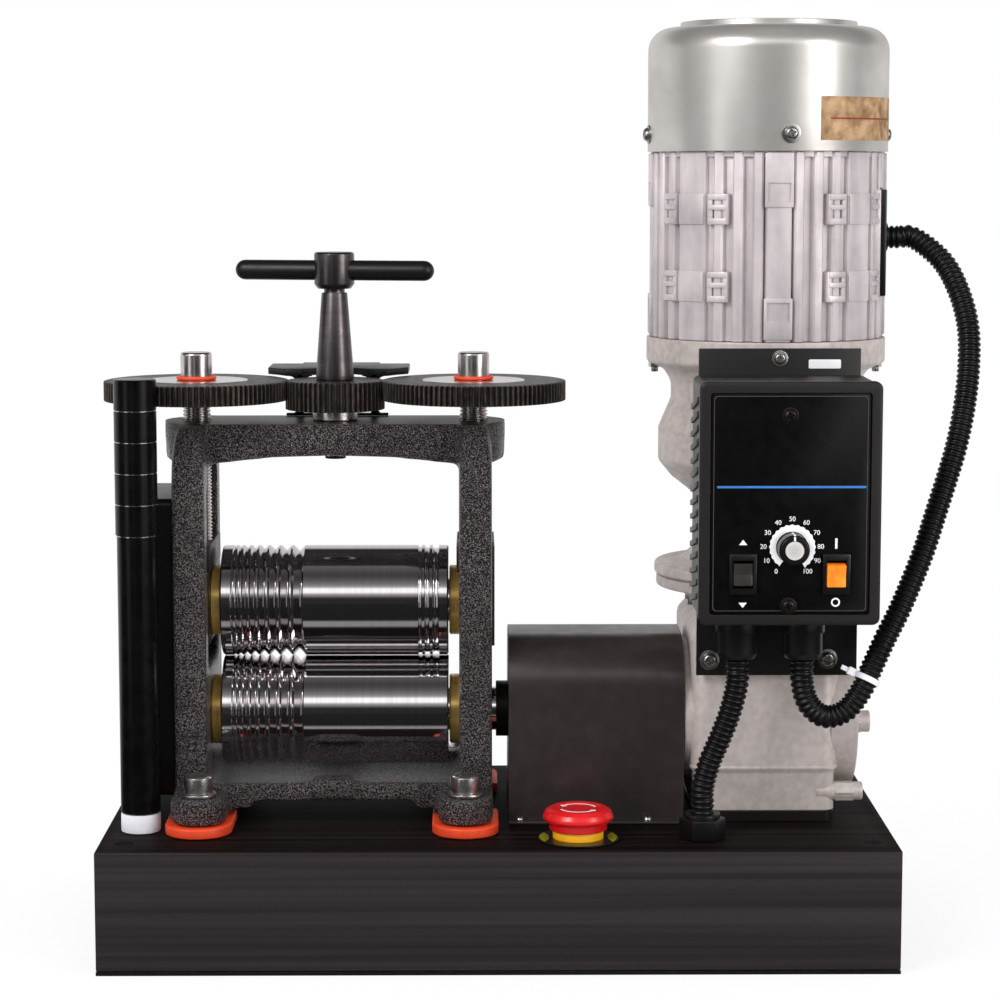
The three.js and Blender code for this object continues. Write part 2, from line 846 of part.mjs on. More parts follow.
// Handle: spindle, pinion, tee bar, and the bush that carries them in the yoke
const pinionBottom = adjustGearTop - pinionWidth;
const headBottom = spindleHeadTop - spindleHeadHeight;
const teeZ = spindleHeadTop - spindleHeadHeight / 2;
place(
  "handle_spindle",
  cut(
    turned(
      [
        [0, yokeBottom + 1],
        [spindleFoot, yokeBottom + 1],
        [spindleFoot, pinionBottom],
        [spindleWaist, pinionBottom],
        [spindleWaist, adjustGearTop + seat],
        [spindleBase, adjustGearTop + seat],
        [spindleBase, adjustGearTop + spindleCollar],
        [spindleNeck, headBottom - spindleGroove],
        [spindleNeck - 1.4, headBottom - spindleGroove],
        [spindleNeck - 1.4, headBottom],
        [spindleHead - 2, headBottom],
        [spindleHead, headBottom + 3],
        [spindleHead, spindleHeadTop],
        [0, spindleHeadTop],
      ],
    ),
    bar("x", teeRadius + seat, grown([-spindleHead, spindleHead], 1), [0, teeZ]).rotateZ(degrees(teeTurn)),
  ),
  darkSteel,
  atMill,
);
place(
  "pinion",
  cut(
    prism("z", fineTeeth(pinionTeeth, 0), [pinionBottom, adjustGearTop]),
    bar("z", spindleWaist + seat, [pinionBottom - 1, adjustGearTop + 1]),
  ),
  darkSteel,
  atMill,
);
const teeProfile = [
  ...arc([0, teeRadius - teeLength / 2], teeRadius, -90, 0, 4),
  ...arc([0, teeLength / 2 - teeRadius], teeRadius, 0, 90, 4),
];
const teeBar = turned(teeProfile, smallSides).rotateY(degrees(90)).rotateZ(degrees(teeTurn));
place("tee_bar", teeBar, darkSteel, [millX, 0, teeZ]);
const archTop = yokeBottom + yokeArch;
place(
  "spindle_bush",
  cut(
    turned(
      [
        [0, archTop - 2],
        [spindleBushBarrel, archTop - 2],
        [spindleBushBarrel, frameTop + seat],
        [spindleBushRadius, frameTop + seat],
        [spindleBushRadius, pinionBottom - seat],
        [0, pinionBottom - seat],
      ],
    ),
    bore("z", spindleFoot, [yokeBottom, pinionBottom + 1]),
  ),
  bronze,
  atMill,
);

// Guard plate behind the spindle, over the places where the teeth mesh, on two posts
const guardBottom = adjustGearTop + guardLift;
const postBack = yokeWidth / 2 - 0.5;
const postFront = postBack - guardPostDepth;
const postOuter = guardPostX + guardPostWidth;
const besideTeeth = (x) =>
  Math.sqrt((tipRadius(adjustGearTeeth) + guardToothGap) ** 2 - (adjustCentre - x) ** 2);
const wingFront = besideTeeth(guardWingX);
const teethFrom = guardFootX - 0.1;
const guardHalf = [
  [guardNotchX, guardNotchY],
  [guardPostX, postFront],
  [teethFrom, postFront],
  [(teethFrom + guardWingX) / 2, besideTeeth((teethFrom + guardWingX) / 2)],
  [guardWingX, wingFront],
  [guardWingX, wingFront + guardWingDepth],
  [postOuter, wingFront + guardWingDepth],
  [postOuter, wingFront + guardSpineDepth],
];
place(
  "mesh_guard",
  join(
    prism("z", [...guardHalf, ...guardHalf.map(([x, y]) => [-x, y]).reverse()], [
      guardBottom,
      guardBottom + guardThickness,
    ]),
    sides.map(([, sx]) =>
      block(onSide(sx, guardPostX, postOuter), [postFront, postBack], [frameTop + seat, guardBottom + 1]),
    ),
    block([-guardFootX, guardFootX], [postFront, postBack], [
      frameTop + seat,
      frameTop + seat + guardFootThickness,
    ]),
  ),
  darkSteel,
  atMill,
);

// Spare handle tube on its nylon foot
const leverAt = [millX + leverX, leverY, 0];
const leverBottom = leverFootHeight + seat;
const gripPitch = leverGripLength / leverGripRings;
const gripProfile = Array.from({ length: leverGripRings }, (_, i) => {
  const from = leverTop - leverGripLength + i * gripPitch;
  return [
    [leverGripRadius - gripGroove, from],
    [leverGripRadius, from + 1],
    [leverGripRadius, from + gripPitch - 1],
  ];
}).flat();
place(
  "lever_tube",
  cut(
    turned([
      [0, leverBottom],
      [leverRadius, leverBottom],
      [leverRadius, leverTop - leverGripLength],
      ...gripProfile,
      [leverGripRadius - gripGroove, leverTop],
      [0, leverTop],
    ]),
    bar("z", leverBore, [leverBottom - 1, leverTop - 4]),
  ),
  blackPlastic,
  leverAt,
);
place(
  "lever_foot",
  turned(
    [
      [0, -leverPinLength],
      [leverPinRadius, -leverPinLength],
      [leverPinRadius, seat],
      [leverRadius, seat],
      [leverRadius, leverFootHeight],
      [leverBore - running, leverFootHeight],
      [leverBore - running, leverPegHeight - 2],
      [leverBore - 2, leverPegHeight],
      [0, leverPegHeight],
    ],
  ),
  whiteNylon,
  leverAt,
);

// Drive: coupling and its guard
place(
  "drive_coupling",
  cut(
    bar("x", couplingRadius, [couplingFrom, couplingTo], [0, lowerRollZ]),
    bar("x", journalRadius + seat, [couplingFrom - 1, couplingTo + 1], [0, lowerRollZ], rollSides),
  ),
  darkSteel,
);
const guardTo = gearboxLeft - gearboxCover - seat;
const guardFrom = guardTo - guardLength;
const guardSection = (by) => [
  [guardDepth / 2 - by, by ? seat - 1 : seat],
  ...arc([guardDepth / 2 - guardBend, guardHeight - guardBend], guardBend - by, 0, 90, 6),
  ...arc([guardBend - guardDepth / 2, guardHeight - guardBend], guardBend - by, 90, 180, 6),
  [by - guardDepth / 2, by ? seat - 1 : seat],
];
place(
  "coupling_guard",
  cut(
    prism("x", guardSection(0), [guardFrom, guardTo]),
    prism("x", guardSection(sheetWall), [guardFrom + sheetWall, guardTo + 1]),
    bar("x", couplingRadius + 1.5, [guardFrom - 1, guardFrom + sheetWall + 1], [0, lowerRollZ]),
  ),
  blackSheet,
);

// Right-angle gearbox: cast housing with side cover, studs and input flange
const ringAt = (points, z) => points.map(([x, y]) => [x, y, z]);
const circleOf = (radius, z) =>
  ringAt(roundedRectangle(grown([driveX, driveX], radius), grown([driveY, driveY], radius), radius, 3), z);
const bodyRing = (inset, radius, z) =>
  ringAt(
    roundedRectangle(
      grown([gearboxLeft, gearboxRight], -inset),
      grown([gearboxFront, gearboxBack], -inset),
      radius,
      3,
    ),
    z,
  );
const bracketBack = bracketFront + bracketWall;
const bracketScrews = [bracketLeft + 7.6, bracketRight - 16];
const bracketScrewZ = bracketBottom + 8.4;
const discFace = gearboxRight + gearboxDiscDepth;
const stud = (z, to, radius) => bar("x", radius, [gearboxRight - 4, to], [studY, z], 6);
place(
  "gearbox_housing",
  cut(
    join(
      loft([
        bodyRing(gearboxInset, 6, seat),
        bodyRing(gearboxInset, 6, gearboxRidge - 4),
        bodyRing(0, 8, gearboxRidge),
        bodyRing(0, 10, gearboxShoulder),
        bodyRing(6, 22, gearboxShoulder + 12),
        circleOf(gearboxNeck, gearboxTop - 2),
        circleOf(gearboxNeck, gearboxTop + 1),
      ]),
      bar("z", inputFlangeRadius, [gearboxTop, inputTop], [driveX, driveY], fineSides),
      common(
        bar("x", gearboxCoverRadius, [gearboxLeft - gearboxCover, gearboxLeft + 3], [0, lowerRollZ]),
        block([0, gearboxLeft + 4], grown([gearboxFront, gearboxBack], -2), [seat, gearboxShoulder]),
      ),
      bar("x", gearboxDisc, [gearboxRight - 1, discFace], [0, lowerRollZ], fineSides),
      stud(lowerRollZ - 2, discFace + 2.5, studRadius + 1.5),
      stud(lowerRollZ - 2, discFace + 7.5, studRadius),
      stud(16, discFace + 1.5, studRadius),
      bracketScrews.map((x) =>
        bar("y", bossRadius, [bracketBack + seat, gearboxFront + 2], [x, bracketScrewZ], smallSides),
      ),
    ),
    bar("x", gearboxBore, [gearboxLeft + 6, gearboxRight - 6], [0, lowerRollZ], plainSides),
    bore("x", journalRadius, [gearboxLeft - gearboxCover - 1, gearboxRight - 7], [0, lowerRollZ]),
    bar("z", rotorPinionRadius + 3, [rotorPinionFrom - 2, inputTop + 1], [driveX, driveY]),
  ),
  castAluminium,
);
const outputFace = driveX - rotorPinionRadius - seat;
const outputStart = rollShaftEnd + 2;
place(
  "output_gear",
  turned(
    [
      [0, outputStart],
      [journalRadius, outputStart],
      [journalRadius, outputFace - outputGearWidth],
      [outputGearRadius, outputFace - outputGearWidth],
      [outputGearRadius, outputFace - 3],
      [outputGearRadius - 3, outputFace],
      [journalRadius, outputFace],
      [journalRadius, gearboxRight - 8],
      [0, gearboxRight - 8],
    ],
    rollSides,
  ).rotateY(degrees(90)),
  darkSteel,
  [0, 0, lowerRollZ],
);

// Motor: lower bell, finned body, fan cover, rotor with its fan and pinion, terminal cover
const atDrive = [driveX, driveY, 0];
const bellTop = motorBottom - seat;
place(
  "motor_bell",
  cut(
    turned(
      [
        [0, bellDiscBottom],
        [bellDiscRadius, bellDiscBottom],
        [bellDiscRadius, bellDiscBottom + bellDiscThickness],
        [bellNeckRadius, bellDiscBottom + bellDiscThickness],
        [bellNeckRadius, bellBowlBottom - 6],
        [bellBowlRadius - 6, bellBowlBottom + 3],
        [bellBowlRadius, bellBowlBottom + 10],
        [bellBowlRadius, bellBowlTop],
        [bellWaistRadius, bellWaistBottom],
        [bellWaistRadius, bellWaistBottom + 6],
        [bellWaistRadius + 5, bellTop - bellFlangeThickness - 4],
        [bellFlangeRadius, bellTop - bellFlangeThickness],
        [bellFlangeRadius, bellTop],
        [0, bellTop],
      ],
      fineSides,
    ),
    bore("z", rotorShaftRadius, [bellDiscBottom - 1, bellTop + 1]),
  ),
  castAluminium,
  atDrive,
);
const motorEndRadius = (fanCoverRadius - fanCoverWall) * Math.cos(Math.PI / fineSides) - seat;
const motorSection = Array.from({ length: motorFins }, (_, i) => {
  const onPad = i % (motorFins / 4) === 0;
  const half = onPad ? motorPadWidth / 2 : motorFinWidth / 2;
  const reach = onPad ? motorRadius + 0.4 : motorRadius;
  const [along, between] = [i, i + 0.5].map((step) => degrees((step * 360) / motorFins));
  return [
    [reach * Math.cos(along) + half * Math.sin(along), reach * Math.sin(along) - half * Math.cos(along)],
    [reach * Math.cos(along) - half * Math.sin(along), reach * Math.sin(along) + half * Math.cos(along)],
    [(motorRadius - motorFinDepth) * Math.cos(between), (motorRadius - motorFinDepth) * Math.sin(between)],
  ];
}).flat();
const terminalReach = motorRadius - terminalInset; // from the motor's axis
const terminalSpan = grown([0, 0], terminalWidth / 2);
const terminalHeights = grown([terminalZ, terminalZ], terminalHeight / 2);
place(
  "motor_body",
  join(
    cut(
      join(
        prism("z", motorSection, [motorBottom, fanCoverBottom - seat]),
        bar("z", motorEndRadius, [fanCoverBottom - 1, motorTop], [0, 0], fineSides),
      ),
      bore("z", rotorCoreRadius, [motorBottom + 12, motorTop - 12]),
      bore("z", rotorShaftRadius, [motorBottom - 1, motorTop + 1]),
      block([terminalReach, motorRadius + 1], grown(terminalSpan, 1), grown(terminalHeights, 1)),
    ),
    block([motorRadius - 12, terminalReach], terminalSpan, terminalHeights),
  ),
  castAluminium,
  atDrive,
);
const fanCoverFace = fanCoverTop - fanCoverLip;
const coverCorner = (by) =>
  arc([fanCoverRadius - fanCoverCorner, fanCoverFace - fanCoverCorner], fanCoverCorner - by, 0, 90, 4);
place(
  "fan_cover",
  cut(
    turned(
      [
        [0, fanCoverBottom],
        [fanCoverRadius, fanCoverBottom],
        ...coverCorner(0),
        [fanCoverLipRadius, fanCoverFace],
        [fanCoverLipRadius, fanCoverTop],
        [fanCoverLipRadius - fanCoverWall, fanCoverTop],
        [fanCoverLipRadius - fanCoverWall, fanCoverFace],
        [0, fanCoverFace],
      ],
      fineSides,
    ),
    turned(
      [
        [0, fanCoverBottom - 1],
        [fanCoverRadius - fanCoverWall, fanCoverBottom - 1],
        ...coverCorner(fanCoverWall),
        [0, fanCoverFace - fanCoverWall],
      ],
      fineSides,
    ),
    Array.from({ length: fanSlots }, (_, i) =>
      block(fanSlotSpan, grown([0, 0], fanSlotWidth / 2), [
        fanCoverFace - 2 * fanCoverWall,
        fanCoverFace + 1,
      ]).rotateZ(degrees((i * 360) / fanSlots)),
    ),
  ),
  galvanised,
  atDrive,
);
const fanZ = motorTop + 8;
place(
  "motor_rotor",
  join(
    turned(
      [
        [0, rotorPinionFrom],
        [rotorPinionRadius, rotorPinionFrom],
        [rotorPinionRadius, rotorPinionFrom + 22],
        [rotorShaftRadius, rotorPinionFrom + 26],
        [rotorShaftRadius, motorBottom + 13],
        [rotorCoreRadius, motorBottom + 14],
        [rotorCoreRadius, motorTop - 14],
        [rotorShaftRadius, motorTop - 13],
        [rotorShaftRadius, fanZ],
        [fanRadius, fanZ],
        [fanRadius, fanZ + fanDisc],
        [fanHubRadius, fanZ + fanDisc],
        [fanHubRadius, fanZ + fanDepth],
        [0, fanZ + fanDepth],
      ],
    ),
    Array.from({ length: fanBlades }, (_, i) =>
      block([fanHubRadius - 2, fanRadius - 1], [-1, 1], [
        fanZ + fanDisc - 1,
        fanZ + fanDepth,
      ]).rotateZ(degrees((i * 360) / fanBlades)),
    ),
  ),
  darkSteel,
  atDrive,
);
const coverFrom = terminalReach + seat;
const coverTo = coverFrom + terminalThickness;
const hoseEntryY = terminalHoseY - driveY;
const hoseEntryZ = terminalZ + terminalHoseRise;
place(
  "terminal_cover",
  join(
    block([coverFrom, coverTo], terminalSpan, terminalHeights),
    bar("x", hoseRadius + 1.5, [coverTo - 1, coverTo + terminalBoss], [hoseEntryY, hoseEntryZ], smallSides),
  ),
  blackPlastic,
  atDrive,
);

// Control box on its bracket
place(
  "control_bracket",
  block([bracketLeft, bracketRight], [bracketFront, bracketBack], [bracketBottom, bracketTop]),
  blackSheet,
);
const boxBack = bracketFront - seat;
const boxFront = boxBack - boxDepth;
const boxInX = grown([boxX, boxX], boxWidth / 2);
const boxInZ = grown([boxZ, boxZ], boxHeight / 2);
const panelBack = boxFront + panelRecess + panelThickness;
const rounded = (by, radius, range) =>
  prism("y", roundedRectangle(grown(boxInX, by), grown(boxInZ, by), radius, 3), range);
const boxGlands = [["base_hose_gland", baseHoseX], ["motor_hose_gland", motorHoseX]];
place(
  "control_box",
  cut(
    join(
      rounded(0, boxCorner, [boxFront, boxFront + boxRimDepth]),
      rounded(-boxRebate, 3, [boxFront + 1, boxBack]),
    ),
    rounded(seat - boxRim, 2, [boxFront - 1, panelBack + seat]),
    rounded(-boxRim - 2, 2, [boxFront, boxBack - boxWall]),
    boxGlands.map(([, x]) =>
      bar("z", glandThreadRadius + seat, [boxInZ[0] - 1, boxInZ[0] + 12], [x, glandY], smallSides),
    ),
  ),
  blackPlastic,
);
const around = (x, width, height, inY) =>
  block(grown([x, x], width / 2), inY, grown([rockerZ, rockerZ], height / 2));
const bezelAt = (x) =>
  around(x, bezelWidth, bezelHeight, [panelBack - panelThickness - bezelDepth, panelBack]);
const rockerHole = (x) =>
  around(x, rockerWidth + 2 * running, rockerHeight + 2 * running, [boxFront - 4, panelBack + 1]);
place(
  "control_panel",
  cut(
    join(
      rounded(-boxRim, 2, [panelBack - panelThickness, panelBack]),
      bezelAt(directionX),
      bezelAt(powerX),
    ),
    rockerHole(directionX),
    rockerHole(powerX),
    bore("y", knobShaftRadius, [boxFront - 1, panelBack + 1], [knobX, knobZ], smallSides),
  ),
  blackPlastic,
);
const knobBack = panelBack - panelThickness - seat;
place(
  "speed_knob",
  join(
    bar("y", knobRadius, [knobBack - knobDepth, knobBack], [knobX, knobZ]),
    bar("y", knobShaftRadius, [knobBack - 1, panelBack + 6], [knobX, knobZ], smallSides),
  ),
  blackPlastic,
);
const rockerPivotY = panelBack + 2;
const rockerReach = rockerPivotY - panelBack + panelThickness + bezelDepth + 1.6; // pivot to tip
const rockerHalf = rockerHeight / 2 - 1.2;
const rockerSection = [
  [4, -2.5],
  [4, 2.5],
  [-1, rockerHalf],
  [-rockerReach, rockerHalf],
  [1.4 - rockerReach, 0],
  [-rockerReach, -rockerHalf],
  [-1, -rockerHalf],
];
for (const [name, x, tilt, material] of [
  ["direction_rocker", directionX, 0, blackPlastic],
  ["power_rocker", powerX, rockerTilt, orangeLamp],
])
  place(
    name,
    prism("x", rockerSection, [-rockerWidth / 2, rockerWidth / 2]).rotateX(degrees(tilt)),
    material,
    [x, rockerPivotY, rockerZ],
  );

// Glands: two under the control box and one on the deck
const glandTop = boxInZ[0] - seat;
const glandBottom = glandTop - glandLength;
for (const [name, x] of boxGlands)
  place(
    name,
    turned(
      [
        [0, glandBottom],
        [glandRadius - 2.5, glandBottom],
        [glandRadius - 1.2, glandBottom + 3],
        [glandRadius - 1.2, glandTop - 8],
        [glandRadius, glandTop - 8],
        [glandRadius, glandTop],
        [glandThreadRadius, glandTop],
        [glandThreadRadius, glandTop + seat + glandThreadLength],
        [0, glandTop + seat + glandThreadLength],
      ],
      smallSides,
    ),
    blackPlastic,
    [x, glandY, 0],
  );
place(
  "base_gland",
  join(
    bar("z", glandRadius + 0.6, [seat, baseGlandHeight - baseGlandDome], [0, 0], 6),
    bar("z", glandRadius - 2.2, [baseGlandHeight - baseGlandDome - 1, baseGlandHeight]),
    bar("z", glandThreadRadius, [-baseWall - glandThreadLength, 1]),
  ),
  blackPlastic,
  [baseGlandX, glandY, 0],
);

// Ribbed hoses along chosen points; each end runs straight for a diameter
const glandFoot = glandBottom - seat;
const hoseEnd = 2 * hoseRadius;
const hoseEntryX = driveX + coverTo + terminalBoss + seat;
const baseHoseRoute = [
  [baseHoseX, glandY, glandFoot],
  [baseHoseX, glandY, glandFoot - hoseEnd / 2],
  [baseHoseX, glandY, glandFoot - hoseEnd],
  [baseHoseX - 3.4, glandY, 72],
  [baseHoseX - 9.2, glandY, 56],
  [baseHoseX - 15, glandY, 42],
  [baseGlandX, glandY, baseGlandHeight + seat + hoseEnd],
  [baseGlandX, glandY, baseGlandHeight + seat + hoseEnd / 2],
  [baseGlandX, glandY, baseGlandHeight + seat],
];
const motorHoseRoute = [
  [motorHoseX, glandY, glandFoot],
  [motorHoseX, glandY, glandFoot - hoseEnd / 2],
  [motorHoseX, glandY, glandFoot - hoseEnd],
  [170.5, -80, 75],
  [179.5, -79.5, 68],
  [190.5, -78, 70.5],
  [199.5, -76, 81],
  [206.5, -73, 95],
  [213.5, -70, 109.5],
  [221.1, -66, 123.5],
  [228.8, -61, 139.5],
  [236.4, -56, 157],
  [243.3, -50, 176],
  [249.7, -45, 194],
  [255.7, -40, 212],
  [260.9, -34, 233],
  [264.6, -26, 257],
  [265, -19, 279],
  [260.6, -11, 299],
  [252, -2, 316],
  [hoseEntryX + hoseEnd, terminalHoseY, hoseEntryZ + 0.2],
  [hoseEntryX + hoseEnd / 2, terminalHoseY, hoseEntryZ],
  [hoseEntryX, terminalHoseY, hoseEntryZ],
];
function ribbedHose(route) {
  const points = route.map((point) => new THREE.Vector3(...point));
  const curve = new THREE.CatmullRomCurve3(points, false, "centripetal");
  const length = curve.getLength();
  const ribs = Math.round(length / hoseRibPitch);
  const frames = curve.computeFrenetFrames(2 * ribs, false);
  const ringOf = (step, radius) =>
    Array.from({ length: 8 }, (_, i) => {
      const angle = (i * Math.PI) / 4;
      const middle = curve.getPointAt(step / (2 * ribs));
      middle.addScaledVector(frames.normals[step], radius * Math.cos(angle));
      return middle.addScaledVector(frames.binormals[step], radius * Math.sin(angle)).toArray();
    });
  const rings = [];
  for (let step = 0; step <= 2 * ribs; step += 1)
    rings.push(ringOf(step, step % 2 ? hoseRadius : hoseRoot));
  for (let step = 2 * ribs; step >= 0; step -= 10) rings.push(ringOf(step, hoseBore));
  if ((2 * ribs) % 10) rings.push(ringOf(0, hoseBore));
  const count = rings.length;
  const index = [];
  for (let ring = 0; ring < count; ring += 1)
    for (let i = 0; i < 8; i += 1) {
      const [a, b] = [ring * 8 + i, ring * 8 + ((i + 1) % 8)];
      const [c, d] = [((ring + 1) % count) * 8 + i, ((ring + 1) % count) * 8 + ((i + 1) % 8)];
      index.push(a, b, d, a, d, c);
    }
  console.log(`hose ${length.toFixed(1)} mm long, ${ribs} ribs`);
  return surface(rings, index);
}
place("base_hose", ribbedHose(baseHoseRoute), blackPlastic);
place("motor_hose", ribbedHose(motorHoseRoute), blackPlastic);

// Emergency stop: collar with its label disc, plunger, mushroom head and contact block
const stopAt = [stopX, stopY, 0];
const stopThreadFoot = -baseWall - stopThreadLength;
place(
  "estop_collar",
  cut(
    turned(
      [
        [0, stopThreadFoot],
        [stopThreadRadius, stopThreadFoot],
        [stopThreadRadius, seat],
        [stopDiscRadius, seat],
        [stopDiscRadius, seat + stopDiscThickness],
        [stopCollarRadius, seat + stopDiscThickness],
        [stopCollarRadius, stopSkirtBottom - seat],
        [0, stopSkirtBottom - seat],
      ],
    ),
    bore("z", stopStemRadius, [stopThreadFoot - 1, stopSkirtBottom + 1]),
  ),
  yellowPlastic,
  stopAt,
);
place(
  "estop_plunger",
  join(
    bar("z", stopStemRadius, [stopThreadFoot - 3.5, stopSkirtTop + 2]),
    bar("z", stopPinRadius, [stopSkirtTop + 1, stopSkirtTop + 4], [0, 0], smallSides),
  ),
  blackPlastic,
  stopAt,
);
place(
  "estop_button",
  cut(
    turned(
      [
        [0, stopSkirtBottom],
        [stopSkirtRadius, stopSkirtBottom],
        [stopSkirtRadius, stopSkirtTop],
        [stopHeadRadius - 1, stopSkirtTop],
        [stopHeadRadius, stopSkirtTop + 1.5],
        [stopHeadRadius - 0.6, stopSkirtTop + 4],
        [stopHeadRadius - 4, stopSkirtTop + stopHeadThickness - 1],
        [0, stopSkirtTop + stopHeadThickness],
      ],
    ),
    bore("z", stopCollarRadius, [stopSkirtBottom - 1, stopSkirtTop - 2]),
    bore("z", stopStemRadius, [stopSkirtTop - 3, stopSkirtTop + 2 + seat]),
    bore("z", stopPinRadius, [stopSkirtTop + 2, stopSkirtTop + 4 + seat], [0, 0], smallSides),
  ),
  redPlastic,
  stopAt,
);
const [blockX, blockY, blockZ] = stopBlock;
const blockTop = stopThreadFoot - seat;
place(
  "estop_contacts",
  cut(
    block([-blockX / 2, blockX / 2], [-blockY / 2, blockY / 2], [blockTop - blockZ, blockTop]),
    bore("z", stopStemRadius, [blockTop - 13.2, 0]),
  ),
  blackPlastic,
  stopAt,
);

machine.position.z = baseHeight;
export default machine;
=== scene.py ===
import math

import bmesh
import bpy
from mathutils import Matrix, Vector


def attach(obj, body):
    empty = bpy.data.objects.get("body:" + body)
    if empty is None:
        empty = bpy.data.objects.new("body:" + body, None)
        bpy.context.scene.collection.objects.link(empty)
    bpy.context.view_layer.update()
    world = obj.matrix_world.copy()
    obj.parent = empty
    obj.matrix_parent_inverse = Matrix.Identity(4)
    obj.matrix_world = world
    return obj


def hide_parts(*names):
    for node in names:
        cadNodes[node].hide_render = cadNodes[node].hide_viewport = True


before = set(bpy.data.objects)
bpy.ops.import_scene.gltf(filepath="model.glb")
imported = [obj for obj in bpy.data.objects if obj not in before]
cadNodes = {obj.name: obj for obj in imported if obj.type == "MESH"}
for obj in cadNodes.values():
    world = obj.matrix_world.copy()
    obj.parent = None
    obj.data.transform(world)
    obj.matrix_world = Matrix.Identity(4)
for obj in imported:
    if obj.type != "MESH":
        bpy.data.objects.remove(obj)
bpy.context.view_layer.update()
scene = bpy.context.scene
print("frame loaded,", len(cadNodes), "CAD pieces")

# Sizes are in millimetres above the deck, the top of the base. Shapes are made in metres.
mm = 0.001
deck = 68.4
millX = -92.4
driveX, driveY = 155, 21

# The photograph's camera

view = {"lens": 100.54, "place": (-12.43, -1589.76, 366.07), "down": 6.721, "right": 0.507}
camera = bpy.data.objects.new("camera", bpy.data.cameras.new("camera"))
scene.collection.objects.link(camera)
camera.data.lens = view["lens"]
camera.data.sensor_width = 36
camera.data.clip_start, camera.data.clip_end = 0.1, 60
camera.location = (view["place"][0] * mm, view["place"][1] * mm, (view["place"][2] + deck) * mm)
camera.rotation_euler = (math.radians(90 - view["down"]), 0, -math.radians(view["right"]))
scene.camera = camera
scene.view_settings.view_transform = "Standard"


# Node helpers

def put(tree, kind, sockets=None, **settings):
    made = tree.nodes.new(kind if "Node" in kind else "ShaderNode" + kind)
    for key, value in settings.items():
        setattr(made, key, value)
    feed(tree, made, sockets or {})
    return made


def feed(tree, node, sockets):
    for key, value in sockets.items():
        if isinstance(value, bpy.types.NodeSocket):
            tree.links.new(value, node.inputs[key])
        else:
            node.inputs[key].default_value = value


def ownPlace(tree):
    return put(tree, "TexCoord").outputs["Object"]


def noise(tree, place, scale, detail=2.0, **sockets):
    return put(tree, "TexNoise",
               {"Vector": place, "Scale": scale, "Detail": detail, **sockets}).outputs["Fac"]


def vectorMaths(tree, operation, first, second=(0, 0, 0), out=0):
    return put(tree, "VectorMath", {0: first, 1: second}, operation=operation).outputs[out]


def mixColours(tree, share, first, second):
    return put(tree, "Mix", {0: share, 6: first, 7: second}, data_type="RGBA").outputs[2]


def maths(tree, operation, first, second=0.0):
    return put(tree, "Math", {0: first, 1: second}, operation=operation).outputs[0]


def ranged(tree, value, low, high, start=0.0, end=1.0):
    sockets = {"Value": value, "From Min": start, "From Max": end, "To Min": low, "To Max": high}
    return put(tree, "MapRange", sockets).outputs["Result"]


def bumped(tree, height, distance, strength=1.0):
    return put(tree, "Bump", {"Height": height, "Strength": strength, "Distance": distance * mm}).outputs[0]


def emptyTree(owner):
    owner.use_nodes = True
    owner.node_tree.nodes.clear()
    return owner.node_tree


def startGroup(name, inputs, outputs):
    tree = bpy.data.node_groups.new(name, "ShaderNodeTree")
    for label, kind, value in inputs:
        tree.interface.new_socket(label, in_out="INPUT",
                                  socket_type="NodeSocket" + kind).default_value = value
    for label in outputs:
        tree.interface.new_socket(label, in_out="OUTPUT", socket_type="NodeSocketFloat")
    return tree, tree.nodes.new("NodeGroupInput").outputs, tree.nodes.new("NodeGroupOutput")


def colour(red, green, blue):
    def linear(value):
        value /= 255
        return value / 12.92 if value <= 0.04045 else ((value + 0.055) / 1.055) ** 2.4

    return (linear(red), linear(green), linear(blue), 1)


# Effects that several finishes share. Height feeds bumps, Tone runs from one colour to the other.

def makeGrain():
    inputs = [("Scale", "Vector", (800, 800, 800)), ("Detail", "Float", 3.0)]
    tree, given, out = startGroup("grain", inputs, ["Height", "Tone"])
    scaled = vectorMaths(tree, "MULTIPLY", ownPlace(tree), given["Scale"])
    tone = ranged(tree, noise(tree, scaled, 0.17), 0, 1, 0.35, 0.65)
    feed(tree, out, {"Height": noise(tree, scaled, 1.0, given["Detail"]), "Tone": tone})
    return tree


def makeSmudges():
    tree, given, out = startGroup("smudges", [("Scale", "Float", 25.0), ("Contrast", "Float", 0.5)], ["Tone"])
    cloud = noise(tree, ownPlace(tree), given["Scale"], 5.0, Roughness=0.6)
    centred = maths(tree, "MULTIPLY", maths(tree, "SUBTRACT", cloud, 0.5), given["Contrast"])
    feed(tree, out, {"Tone": ranged(tree, centred, 0, 1, -0.15, 0.15)})
    return tree


def makeEdgeWear():
    inputs = [("Radius", "Float", 0.0006), ("Scale", "Float", 180.0), ("Amount", "Float", 1.0)]
    tree, given, out = startGroup("edge wear", inputs, ["Mask"])
    flat = put(tree, "NewGeometry").outputs["Normal"]
    soft = put(tree, "Bevel", {"Radius": given["Radius"]}, samples=4).outputs[0]
    edge = ranged(tree, vectorMaths(tree, "DOT_PRODUCT", flat, soft, "Value"), 1, 0, 0.8, 0.995)
    broken = ranged(tree, noise(tree, ownPlace(tree), given["Scale"], 4.0), 0, 1, 0.35, 0.6)
    feed(tree, out, {"Mask": maths(tree, "MULTIPLY", maths(tree, "MULTIPLY", edge, broken), given["Amount"])})
    return tree


